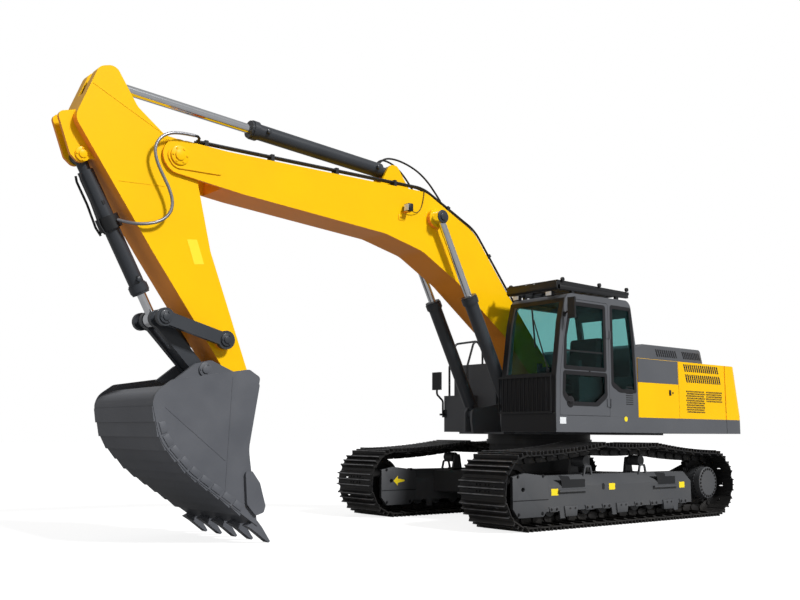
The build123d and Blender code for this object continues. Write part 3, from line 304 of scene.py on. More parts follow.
def stand(name: str, data: bpy.types.ID) -> bpy.types.Object:
    """New object at the origin of the scene."""
    thing = bpy.data.objects.new(name, data)
    bpy.context.scene.collection.objects.link(thing)
    return thing


def smooth_line(points: list[Point], radius: float, sides: int = 3) -> bpy.types.Mesh:
    """Mesh of one open line that its points pull, or of a round tube along it.

    Args:
        points: Control points.
        radius: Radius of the tube, or 0 for the bare line.
        sides: Bevel resolution.

    Returns:
        The mesh.
    """
    curve = bpy.data.curves.new("line", "CURVE")
    curve.dimensions = "3D"
    curve.bevel_depth = radius
    curve.bevel_resolution = sides
    curve.resolution_u = 8
    curve.use_fill_caps = True
    spline = curve.splines.new("NURBS")
    spline.points.add(len(points) - 1)
    for target, point in zip(spline.points, points):
        target.co = (*point, 1)
    spline.order_u = 3
    spline.use_endpoint_u = True
    holder = bpy.data.objects.new("line", curve)
    mesh = bpy.data.meshes.new_from_object(holder)
    bpy.data.objects.remove(holder)
    bpy.data.curves.remove(curve)
    return mesh


def dress(finish: Finish, *nodes: str) -> None:
    """Give CAD nodes a finish.

    Args:
        finish: The finish.
        nodes: Names of the nodes.
    """
    for name in nodes:
        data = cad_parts[name].data
        data.materials.clear()
        data.materials.append(finish.build())


class Bench:
    """Place where pieces are built one after another, in metres from the swing axis."""

    def __init__(self) -> None:
        """Start an empty mesh."""
        self.mesh = bmesh.new()

    def outline(self, points: list[Flat], along: Along, low: float, high: float, bevel: float = 0.0,
                round_off: float = 0.0, holes: list[list[Flat]] = ()) -> None:
        """Push a flat outline along one axis.

        Args:
            points: Corners, as (x, z) along Y, (y, z) along X and (x, y) along Z.
            along: Axis of the push.
            low: Start of the push.
            high: End of the push.
            bevel: Width of the edge bevel.
            round_off: Radius of the outline's corners.
            holes: Outlines cut out of it.
        """
        work = bmesh.new()
        for ring in (points, *holes):
            corners = [work.verts.new(self.spot(u, v, low, along)) for u, v in ring]
            work.faces.new(corners)
            if round_off and ring is points:
                bmesh.ops.bevel(work, geom=corners, offset=round_off, segments=4, profile=0.5, affect="VERTICES",
                                material=-1)
        if holes:
            bmesh.ops.delete(work, geom=work.faces[:], context="FACES_ONLY")
            bmesh.ops.triangle_fill(work, use_beauty=True, use_dissolve=False, edges=work.edges[:])
        pushed = bmesh.ops.extrude_face_region(work, geom=work.faces[:], use_keep_orig=True)
        way = Vector(self.spot(0, 0, 1, along)) * (high - low)
        moved = [item for item in pushed["geom"] if isinstance(item, bmesh.types.BMVert)]
        bmesh.ops.translate(work, vec=way, verts=moved)
        bmesh.ops.recalc_face_normals(work, faces=work.faces[:])
        soften(work, bevel)
        self.take(work)

    @staticmethod
    def spot(u: float, v: float, level: float, along: Along) -> Point:
        """Point of a flat outline in space."""
        if along is Along.X:
            return (level, u, v)
        if along is Along.Y:
            return (u, level, v)
        return (u, v, level)

    def take(self, work: bmesh.types.BMesh, matrix: Matrix = Matrix.Identity(4)) -> None:
        """Move another mesh into this one.

        Args:
            work: The other mesh, which is freed.
            matrix: Where it goes.
        """
        bmesh.ops.transform(work, matrix=matrix, verts=work.verts[:])
        carrier = bpy.data.meshes.new("carrier")
        work.to_mesh(carrier)
        work.free()
        self.mesh.from_mesh(carrier)
        bpy.data.meshes.remove(carrier)

    def box(self, x: Flat, y: Flat, z: Flat, bevel: float = 0.0) -> None:
        """Box between two limits on each axis.

        Args:
            x: Limits along X.
            y: Limits along Y.
            z: Limits along Z.
            bevel: Width of the edge bevel.
        """
        work = bmesh.new()
        bmesh.ops.create_cube(work, size=1)
        size = Vector((abs(x[1] - x[0]), abs(y[1] - y[0]), abs(z[1] - z[0])))
        bmesh.ops.scale(work, vec=size, verts=work.verts[:])
        middle = Vector((sum(x) / 2, sum(y) / 2, sum(z) / 2))
        bmesh.ops.translate(work, vec=middle, verts=work.verts[:])
        soften(work, bevel)
        self.take(work)

    def rod(self, start: Place, end: Place, radius: float, sides: int = 24, bevel: float = 0.0) -> None:
        """Round bar between two points.

        Args:
            start: Middle of the first end.
            end: Middle of the other end.
            radius: Its radius.
            sides: Faces round it.
            bevel: Width of the bevel at both ends.
        """
        work = bmesh.new()
        bmesh.ops.create_cone(work, cap_ends=True, segments=sides, radius1=radius, radius2=radius,
                              depth=(Vector(end) - Vector(start)).length)
        soften(work, bevel)
        self.take(work, between(start, end))

    def ring(self, start: Place, end: Place, outer: float, inner: float, sides: int = 48) -> None:
        """Round sleeve between two points.

        Args:
            start: Middle of the first end.
            end: Middle of the other end.
            outer: Outer radius.
            inner: Inner radius.
            sides: Faces round it.
        """
        work = bmesh.new()
        half = (Vector(end) - Vector(start)).length / 2
        section = ((inner, -half), (outer, -half), (outer, half), (inner, half))
        work.faces.new([work.verts.new((radius, 0, level)) for radius, level in section])
        bmesh.ops.spin(work, geom=work.faces[:], axis=(0, 0, 1), cent=(0, 0, 0), angle=math.tau, steps=sides,
                       use_merge=True)
        bmesh.ops.delete(work, geom=[face for face in work.faces if all(abs(v.co.y) < 1e-6 for v in face.verts)],
                         context="FACES")
        bmesh.ops.remove_doubles(work, verts=work.verts[:], dist=1e-5)
        bmesh.ops.recalc_face_normals(work, faces=work.faces[:])
        self.take(work, between(start, end))

    def strip(self, start: Flat, end: Flat, half: float, low: float, high: float) -> None:
        """Narrow raised strip on a side face.

        Args:
            start: First end of its middle line.
            end: Other end.
            half: Half its width.
            low: Start of the push.
            high: End of the push.
        """
        first, last = Vector(start), Vector(end)
        off = Vector((first.y - last.y, last.x - first.x)).normalized() * half
        self.outline([tuple(corner) for corner in (first - off, last - off, last + off, first + off)], Along.Y, low,
                     high)

    def bolts(self, spots: list[Place], way: Place, radius: float = 0.014, height: float = 0.012) -> None:
        """Six-sided bolt heads on round washers.

        Args:
            spots: Points on the surface.
            way: Direction that the heads point in.
            radius: Radius of a head.
            height: Height of a head.
        """
        out = Vector(way).normalized()
        for spot in spots:
            base = Vector(spot) - out * 0.001
            self.rod(base, base + out * height * 0.3, radius * 1.35, sides=12)
            self.rod(base, base + out * height, radius, sides=6)

    def circle(self, center: Point, way: Along, radius: float, count: int) -> list[Point]:
        """Points on a circle round an axis.

        Args:
            center: Middle of the circle.
            way: Axis of the circle.
            radius: Radius of the circle.
            count: How many points.

        Returns:
            The points.
        """
        angles = [math.tau * index / count for index in range(count)]
        return [tuple(Vector(center) + Vector(self.spot(radius * math.cos(angle), radius * math.sin(angle), 0, way)))
                for angle in angles]

    def pipe(self, points: list[Point], radius: float) -> None:
        """Round pipe along a smooth line.

        Args:
            points: Points that pull the line.
            radius: Radius of the pipe.
        """
        mesh = smooth_line(points, radius)
        self.mesh.from_mesh(mesh)
        bpy.data.meshes.remove(mesh)

    def finish(self, name: str, finish: Finish, body: str, *replaces: str) -> None:
        """Make the piece, dress it, let it ride and clear the bench.

        Args:
            name: Name of the piece.
            finish: Its finish.
            body: Body that it moves with.
            replaces: Nodes that it stands for.
        """
        bmesh.ops.translate(self.mesh, vec=(SWING_X, 0, 0), verts=self.mesh.verts[:])
        data = bpy.data.meshes.new(name)
        self.mesh.to_mesh(data)
        self.mesh.free()
        self.mesh = bmesh.new()
        data.shade_smooth()
        data.set_sharp_from_angle(angle=math.radians(SHARP_ANGLE))
        data.materials.append(finish.build())
        piece = stand(name, data)
        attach(piece, body)
        if replaces:
            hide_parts(*replaces)
        LOG.info("%s: %d faces on %s", name, len(data.polygons), body)


@dataclass
class Undercarriage:
    """Tracks, track frames and their bolted parts."""

    gauge: float = 2.59
    shoe_width: float = 0.8
    shoe_count: int = 48
    wheel_base: float = 4.04
    wheel_height: float = 0.485
    pin_radius: float = 0.364
    carrier_x: float = 0.6
    carrier_rise: float = 0.11
    top_sag: float = 0.022
    shoe_seat: float = 0.062
    shoe_plate: float = 0.016
    grouser: float = 0.041
    grouser_step: float = 0.078
    frame_half: float = 0.215
    roller_step: float = 0.352
    raised: float = 0.002
    # Outlines of thin near-black plates on the frame's side: painted shade in its pockets.
    painted_pocket_shades: tuple[Line, ...] = (
        ((1.307, 0.66), (1.1, 0.645), (1.08, 0.605), (0.782, 0.605), (0.782, 0.5), (1.24, 0.5), (1.257, 0.6)),
        ((-0.735, 0.664), (-0.98, 0.65), (-1.0, 0.6), (-1.235, 0.6), (-1.235, 0.49), (-0.82, 0.49), (-0.8, 0.6)))
    guard_outlines: tuple[Line, ...] = tuple(
        ((x - 0.13, 0.272), (x - 0.11, 0.14), (x + 0.11, 0.14), (x + 0.13, 0.272)) for x in (1.08, 0.02, -1.04))
    cover: Line = ((2.15, 0.66), (1.93, 0.7), (1.56, 0.66), (1.5, 0.62), (1.5, 0.26), (1.6, 0.155), (2.05, 0.155),
                   (2.15, 0.27))
    cover_seam: Line = ((2.145, 0.372), (1.502, 0.372), (1.502, 0.36), (2.145, 0.36))
    arrow: Line = ((1.93, 0.5), (1.85, 0.57), (1.85, 0.53), (1.72, 0.51), (1.72, 0.49), (1.85, 0.47), (1.85, 0.43))

    def arc(self, x: float, first: float, turn: float) -> list[Flat]:
        """Pins round one wheel.

        Args:
            x: Place of the wheel.
            first: Angle where the chain meets it.
            turn: Angle that the chain wraps.

        Returns:
            Closely spaced (x, z) points.
        """
        angles = [first + turn * step / 40 for step in range(40)]
        return [(x + self.pin_radius * math.cos(angle), self.wheel_height + self.pin_radius * math.sin(angle))
                for angle in angles]

    def chain_line(self) -> list[Flat]:
        """Points along the chain's pins, seen from the side, from the rear bottom round.

        Returns:
            Closely spaced (x, z) points.
        """
        half = self.wheel_base / 2
        top = self.wheel_height + self.pin_radius + self.carrier_rise
        slope = math.atan2(self.carrier_rise, half - self.carrier_x)
        turn = math.pi - slope
        lift = (half + self.pin_radius * math.sin(slope), self.wheel_height + self.pin_radius * math.cos(slope))
        points = [(-half + self.wheel_base * step / 60, self.wheel_height - self.pin_radius) for step in range(60)]
        points += self.arc(half, -math.pi / 2, turn)
        rests = [lift, (self.carrier_x, top), (-self.carrier_x, top), (-lift[0], lift[1])]
        for start, end in zip(rests, rests[1:]):
            for step in range(24):
                share = step / 24
                drop = self.top_sag * 4 * share * (1 - share)
                points.append((start[0] + (end[0] - start[0]) * share, start[1] + (end[1] - start[1]) * share - drop))
        return points + self.arc(-half, math.pi / 2 + slope, turn)

    def places(self) -> list[Matrix]:
        """Where each link of the chain sits.

        Returns:
            One matrix for each link: X along the chain, Z outwards.
        """
        points = [Vector((x, 0, z)) for x, z in self.chain_line()]
        spans = list(zip(points, points[1:] + points[:1]))
        pitch = sum((end - start).length for start, end in spans) / self.shoe_count
        found = []
        walked = 0.0
        target = pitch / 2
        for start, end in spans:
            length = (end - start).length
            while target <= walked + length and len(found) < self.shoe_count:
                along = (end - start).normalized()
                turned = Matrix((along, Vector((0, 1, 0)), Vector((along.z, 0, -along.x)))).transposed().to_4x4()
                found.append(Matrix.Translation(start.lerp(end, (target - walked) / length)) @ turned)
                target += pitch
            walked += length
        return found

    def shoe(self) -> bmesh.types.BMesh:
        """One three-grouser shoe with its mud holes and bolts.

        Returns:
            The shoe, X along the chain and Z outwards.
        """
        part = Bench()
        half = self.shoe_width / 2
        face = self.shoe_seat + self.shoe_plate
        ends = [(-0.1, -half + 0.02), (-0.08, -half), (0.08, -half), (0.1, -half + 0.02), (0.1, half - 0.02),
                (0.08, half), (-0.08, half), (-0.1, half - 0.02)]
        holes = [[(0.028, side * 0.165), (-0.028, side * 0.235), (0.028, side * 0.235)][::side] for side in (-1, 1)]
        part.outline(ends, Along.Z, self.shoe_seat, face, holes=holes)
        for index in (-1, 0, 1):
            middle = index * self.grouser_step
            rib = [(middle - 0.015, face - 0.002), (middle + 0.015, face - 0.002),
                   (middle + 0.006, face + self.grouser), (middle - 0.006, face + self.grouser)]
            part.outline(rib, Along.Y, -half + 0.012, half - 0.012)
        lip = [(0.094, face - 0.001), (0.102, face - 0.001), (0.122, 0.055), (0.166, 0.046), (0.166, 0.034),
               (0.114, 0.042), (0.094, self.shoe_seat)]
        part.outline(lip, Along.Y, -half + 0.015, half - 0.015)
        spots = [(x, y, face) for x in (-0.039, 0.039) for y in (-0.105, -0.045, 0.045, 0.105)]
        part.bolts(spots, (0, 0, 1), 0.012, 0.012)
        return part.mesh

    def tips(self) -> bmesh.types.BMesh:
        """Bright worn edges of one shoe's grousers.

        Returns:
            The edges, X along the chain and Z outwards.
        """
        part = Bench()
        half = self.shoe_width / 2 - 0.011
        top = self.shoe_seat + self.shoe_plate + self.grouser
        for index in (-1, 0, 1):
            middle = index * self.grouser_step
            part.box((middle - 0.0068, middle + 0.0068), (-half, half), (top - 0.004, top + 0.0004))
        return part.mesh

    def link(self) -> bmesh.types.BMesh:
        """One pair of link plates with pin and bushing.

        Returns:
            The link, X along the chain and Z outwards.
        """
        part = Bench()
        plate = [(-0.125, -0.02), (-0.1, -0.045), (0.06, -0.045), (0.125, -0.01), (0.125, 0.03), (0.085, 0.062),
                 (-0.085, 0.062), (-0.125, 0.03)]
        for side in (-1, 1):
            part.outline(plate, Along.Y, side * 0.047, side * 0.095, bevel=0.004)
            part.rod((0.105, side * 0.095, 0), (0.105, side * 0.112, 0), 0.034, 14)
        part.rod((0.105, -0.05, 0), (0.105, 0.05, 0), 0.03, 14)
        return part.mesh

    def chain(self, side: int, name: str) -> None:
        """Shoes and links of one track.

        Args:
            side: 1 for the left, -1 for the right.
            name: Left or right, as in the nodes' names.
        """
        middle = Matrix.Translation((0, side * self.gauge / 2, 0))
        track = "track_" + name
        for kind, finish, make, replaces in (("shoes", TRACK, self.shoe, [track]), ("links", TRACK, self.link, []),
                                             ("tips", WORN, self.tips, [])):
            part = Bench()
            for place in self.places():
                part.take(make(), middle @ place)
            part.finish(f"track_{kind}_{name}", finish, "undercarriage", *replaces)

    def fixings(self, side: int, name: str) -> None:
        """Bolts, painted pocket shade and marks of one track frame.

        Args:
            side: 1 for the left, -1 for the right.
            name: Left or right.
        """
        middle = side * self.gauge / 2
        outer = middle + side * self.frame_half
        mark = outer + side * self.raised
        rear = -self.wheel_base / 2
        way = (0, side, 0)
        rollers = [index * self.roller_step for index in range(-4, 5)]
        part = Bench()
        for off, radius, count, height in ((0.256, 0.2, 24, 0.014), (0.16, 0.238, 30, 0.01)):
            center = (rear, middle + side * off, self.wheel_height)
            part.bolts(part.circle(center, Along.Y, radius, count), way, 0.013, height)
        for x in rollers:
            part.bolts([(x + shift, outer + side * 0.012, 0.24) for shift in (-0.05, 0.05)], way)
        part.finish("frame_bolts_" + name, BOLT, "undercarriage")
        for x in rollers:
            seat = [(x - 0.095, 0.272), (x - 0.07, 0.205), (x + 0.07, 0.205), (x + 0.095, 0.272)]
            part.outline(seat, Along.Y, outer - side * 0.01, outer + side * 0.012, bevel=0.004)
        for corners in self.guard_outlines:
            part.outline(corners, Along.Y, outer - side * 0.03, outer + side * 0.018, bevel=0.006)
        part.finish("roller_guards_" + name, CHASSIS, "undercarriage")
        # Near-black plates on the frame's side, the small rounded one too: painted shade in the pockets.
        for corners in self.painted_pocket_shades:
            part.outline(corners, Along.Y, outer, mark, round_off=0.012)
        part.outline([(0.43, 0.455), (0.375, 0.455), (0.375, 0.54), (0.43, 0.54)], Along.Y, outer, mark,
                     round_off=0.025)
        part.finish("frame_painted_pocket_shades_" + name, DARK, "undercarriage")
        for x, z in ((1.38, 0.452), (0.22, 0.492), (-1.4, 0.47)):
            part.box((x - 0.065, x + 0.065), (outer, mark), (z - 0.042, z + 0.042))
        part.finish("frame_marks_" + name, SIGN, "undercarriage")

    def covers(self, side: int, name: str) -> None:
        """Bolted covers over the front wheel, and the arrow on the inner side of the right one.

        Args:
            side: 1 for the left, -1 for the right.
            name: Left or right.
        """
        hole = [(1.966 + 0.035 * math.cos(turn * math.tau / 6), 0.498 + 0.03 * math.sin(turn * math.tau / 6))
                for turn in range(6)]
        for way, place in ((side, "outer"), (-side, "inner")):
            face = side * self.gauge / 2 + way * (self.frame_half + 0.004)
            part = Bench()
            part.outline(self.cover, Along.Y, face - way * 0.05, face, bevel=0.006, holes=[hole])
            part.finish(f"idler_cover_{place}_{name}", CHASSIS, "undercarriage")
            part.outline(self.cover_seam, Along.Y, face, face + way * 0.0015)
            part.bolts([(x, face, z) for x, z in ((1.6, 0.66), (2.06, 0.66), (1.62, 0.2), (2.05, 0.2))], (0, way, 0),
                       0.016, 0.014)
            part.finish(f"idler_cover_seam_{place}_{name}", DARK, "undercarriage")
        if side < 0:
            part = Bench()
            part.outline(self.arrow, Along.Y, face, face + self.raised)
            part.finish("travel_arrow", SIGN, "undercarriage")

    def slew_bolts(self) -> None:
        """Two rows of bolts round the slew ring."""
        for level, body, radius in ((1.06, "undercarriage", 0.745), (1.182, "house", 0.725)):
            part = Bench()
            part.bolts(part.circle((0, 0, level), Along.Z, radius, 40), (0, 0, 1), 0.016, 0.02)
            part.finish("slew_bolts_" + body, BOLT, body)

    def build(self) -> None:
        """Dress the undercarriage."""
        for side, name in ((1, "left"), (-1, "right")):
            dress(CHASSIS, "track_frame_" + name, "final_drive_" + name, "track_rollers_" + name,
                  "carrier_rollers_" + name)
            dress(TRACK, "sprocket_" + name, "idler_" + name, "track_" + name)
            self.chain(side, name)
            self.fixings(side, name)
            self.covers(side, name)
        # The car body and the slew rings get the near-black finish, darker than the track frames' grey: painted shade
        # under the upper structure.
        dress(DARK, "car_body", "slew_ring_lower", "slew_ring_upper")
        self.slew_bolts()


@dataclass
class House:
    """Upper structure behind the cab."""

    side: float = 1.497
    seam: float = -1.432
    weight_front: float = -2.69
    cab_rear: float = -0.434
    panel_top: float = 2.272
    border: float = 1.928

    def louvres(self) -> None:
        """Slots and mesh of the cooler door."""
        part = Bench()
        face = self.side
        step = 0.034
        for low, high, start, end in ((2.13, 2.24, -2.5, -1.57), (1.97, 2.09, -2.55, -1.61)):
            for index in range(17):
                x = start + (end - start) * (index + 0.5) / 17
                part.outline([(x - step, low), (x - 0.002, low), (x + step, high), (x + 0.002, high)], Along.Y,
                             face - 0.002, face + 0.002)
        for start, end, low in ((-2.1, -1.62, 1.52), (-2.58, -2.12, 1.69)):
            for row in range(int((1.86 - low) / step)):
                z = low + row * step
                for index in range(int((end - start) / step)):
                    x = start + index * step + 0.5 * step * (row % 2)
                    part.box((x, x + 0.022), (face - 0.001, face + 0.002), (z, z + 0.022))
        part.finish("cooler_door_slots", DARK, "cooler_door")

    def door_edges(self) -> None:
        """Latch of the side door and a grey panel along its top."""
        part = Bench()
        part.box((-1.225, -1.185), (self.side - 0.002, self.side + 0.012), (1.76, 1.84), 0.004)
        part.rod((-1.28, self.side - 0.002, 1.8), (-1.28, self.side + 0.005, 1.8), 0.014, 20)
        part.finish("side_door_latch", PLASTIC, "side_door")
        rear, front, top = self.seam + 0.012, self.cab_rear - 0.012, self.panel_top - 0.004
        part.outline([(rear, self.border), (front, self.border), (front, top), (rear, top)], Along.Y,
                     self.side - 0.001, self.side + 0.0015)
        part.finish("side_door_grey", GREY, "side_door")

    def hood_slots(self) -> None:
        """Slanted slots in the side and top of the engine hood."""
        part = Bench()
        for start, end in ((-1.6, -2.1), (-2.3, -2.74)):
            for index in range(10):
                x = start + (end - start) * index / 9
                part.outline([(x - 0.05, 2.39), (x - 0.024, 2.39), (x + 0.024, 2.5), (x - 0.002, 2.5)], Along.Y,
                             0.998, 1.004)
        for x in (-1.5, -2.0, -2.5):
            for index in range(7):
                y = -0.5 + index * 0.16
                part.box((x - 0.16, x + 0.16), (y - 0.012, y + 0.012), (2.556, 2.561), 0.002)
        part.finish("hood_slots", PLASTIC, "engine_hood")

    def skirt_marks(self) -> None:
        """Blank plate, lifting mark, vents and seam on the left side."""
        part = Bench()
        part.box((1.12, 1.24), (self.side, self.side + 0.002), (1.32, 1.405))
        part.finish("blank_plate", PALE, "house")
        part.rod((-0.144, self.side, 1.4), (-0.144, self.side + 0.003, 1.4), 0.035, 24)
        part.finish("lifting_mark", SIGN, "house")
        for row in range(9):
            z = 1.6 + row * 0.03
            part.box((-0.32, -0.16), (self.side - 0.002, self.side + 0.0015), (z, z + 0.012))
        part.box((self.weight_front - 0.004, self.weight_front + 0.004), (self.side - 0.001, self.side + 0.001),
                 (1.215, 1.425))
        part.finish("cab_vents", DARK, "house")

    def build(self) -> None:
        """Dress the upper structure."""
        dress(GREY, "main_frame", "weight_skirt")
        dress(YELLOW, "counterweight", "side_door", "cooler_door", "pump_door")
        dress(GREY, "engine_hood", "machine_room", "fuel_tank", "hydraulic_tank", "tool_box")
        dress(IRON, "engine_block")
        self.louvres()
        self.door_edges()
        self.hood_slots()
        self.skirt_marks()


@dataclass
class Cab:
    """Cab with its door, windows, guards and seat."""

    side: float = 1.497
    inner: float = 0.505
    front: Line = ((1.312, 1.44), (1.296, 1.95), (1.185, 2.67), (1.1, 2.98))
    door: Line = ((0.29, 2.065), (1.12, 2.065), (1.1, 2.45), (0.98, 2.925), (0.29, 2.925))
    door_low: Line = ((0.28, 1.99), (0.28, 1.72), (0.48, 1.59), (1.02, 1.59), (1.15, 1.72), (1.13, 1.99))
    quarter: Line = ((0.13, 1.88), (0.13, 2.95), (-0.285, 2.95), (-0.35, 2.38), (-0.375, 1.79), (-0.04, 1.79))

    def rim(self, part: Bench, points: Line, grow: float) -> None:
        """Black border round a window of the left side.

        Args:
            part: Mesh to add to.
            points: Corners of the window.
            grow: How far it covers the frame.
        """
        width, reach = 0.026, 0.9
        middle = Vector((sum(u for u, _ in points) / len(points), sum(v for _, v in points) / len(points)))
        inside = []
        outside = []
        for point in points:
            spot = Vector(point)
            way = Vector([math.copysign(reach, value) for value in spot - middle])
            inside.append(tuple(spot - way * width))
            outside.append(tuple(spot + way * grow))
        part.outline(outside, Along.Y, self.side - 0.006, self.side + 0.003, round_off=0.04, holes=[inside])

    def front_x(self, z: float) -> float:
        """Front of the cab at a height."""
        for (x_low, z_low), (x_high, z_high) in zip(self.front, self.front[1:]):
            if z <= z_high:
                return x_low + (x_high - x_low) * (z - z_low) / (z_high - z_low)
        return self.front[-1][0]

    def front_strip(self, part: Bench, z_low: float, z_high: float, y_low: float, y_high: float) -> None:
        """Black trim that follows the front of the cab.

        Args:
            part: Mesh to add to.
            z_low: Lower end.
            z_high: Upper end.
            y_low: Right edge.
            y_high: Left edge.
        """
        levels = [z_low, *[z for _, z in self.front if z_low < z < z_high], z_high]
        near = [(self.front_x(z) + 0.001, z) for z in levels]
        far = [(self.front_x(z) + 0.005, z) for z in reversed(levels)]
        part.outline(near + far, Along.Y, y_low, y_high)

    def front_trim(self) -> None:
        """Black front of the cab and its wiper."""
        part = Bench()
        low, high, sill, head = self.inner + 0.004, self.side - 0.012, 1.985, 2.93
        self.front_strip(part, 1.46, sill, low, high)
        self.front_strip(part, sill, head, low, self.inner + 0.085)
        self.front_strip(part, sill, head, self.side - 0.085, high)
        self.front_strip(part, head, 2.99, low, high)
        part.box((1.3125, 1.3145), (low, self.side - 0.006), (1.216, 1.452))
        part.finish("cab_front_trim", PLASTIC, "house")
        part.rod((self.front_x(2.02) + 0.02, 1.36, 2.02), (self.front_x(2.72) + 0.02, 1.02, 2.72), 0.009, 10)
        part.rod((self.front_x(2.3) + 0.014, 1.1, 2.34), (self.front_x(2.86) + 0.014, 0.95, 2.88), 0.012, 8)
        part.rod((self.front_x(2.02) + 0.003, 1.36, 2.02), (self.front_x(2.02) + 0.028, 1.36, 2.02), 0.022, 16)
        part.finish("wiper", DARK, "house")

    def seals(self) -> None:
        """Window borders, and the lock and rail of the door."""
        part = Bench()
        self.rim(part, self.door, 0.034)
        self.rim(part, self.door_low, 0.034)
        part.finish("door_seals", PLASTIC, "cab_door")
        self.rim(part, self.quarter, 0.03)
        part.finish("cab_seals", PLASTIC, "house")
        part.rod((1.024, self.side - 0.001, 1.61), (1.024, self.side + 0.006, 1.61), 0.075, 40, bevel=0.002)
        part.box((0.98, 1.07), (self.side + 0.004, self.side + 0.02), (1.595, 1.625), 0.004)
        part.finish("door_handle", PLASTIC, "cab_door")
        part.rod((0.62, self.side - 0.02, 2.03), (0.62, self.side + 0.01, 2.03), 0.012, 16)
        part.box((0.3, 1.1), (self.side - 0.03, self.side - 0.012), (2.28, 2.3))
        part.finish("door_rail", DARK, "cab_door")

    def roof_rails(self) -> None:
        """Side and front rails of the roof guard with their brackets."""
        part = Bench()
        low, high = self.inner + 0.042, self.side - 0.032
        for y in (low, high - 0.05):
            part.outline([(1.2, 3.1), (1.2, 3.166), (-0.32, 3.166), (-0.32, 3.12)], Along.Y, y, y + 0.05, bevel=0.004)
        part.outline([(1.2, 3.095), (1.225, 3.12), (1.225, 3.2), (1.2, 3.2), (1.15, 3.166), (1.15, 3.1)], Along.Y,
                     low, high, bevel=0.004)
        for x in (1.12, 0.35, -0.26):
            for y in (low - 0.03, high):
                part.rod((x, y, 3.235), (x, y + 0.03, 3.235), 0.03, 16, bevel=0.003)
        part.finish("roof_guard_rails", DARK, "house")

    def lamps(self) -> None:
        """Work lamps over the windscreen."""
        for name, finish, x, half, z, bevel in (("bodies", PLASTIC, (1.14, 1.2), 0.06, (3.02, 3.09), 0.008),
                                                ("lenses", PALE, (1.199, 1.203), 0.05, (3.028, 3.082), 0.002)):
            part = Bench()
            for y in (0.7, 1.3):
                part.box(x, (y - half, y + half), z, bevel)
            part.finish("roof_lamp_" + name, finish, "house")

    def build(self) -> None:
        """Dress the cab."""
        dress(GREY, "cab_frame", "cab_door")
        dress(GLASS, "cab_glass", "door_glass")
        dress(DARK, "roof_guard", "front_guard", "mirrors", "handrails")
        dress(FABRIC, "seat")
        dress(PLASTIC, "consoles")
        self.seals()
        self.front_trim()
        self.roof_rails()
        self.lamps()


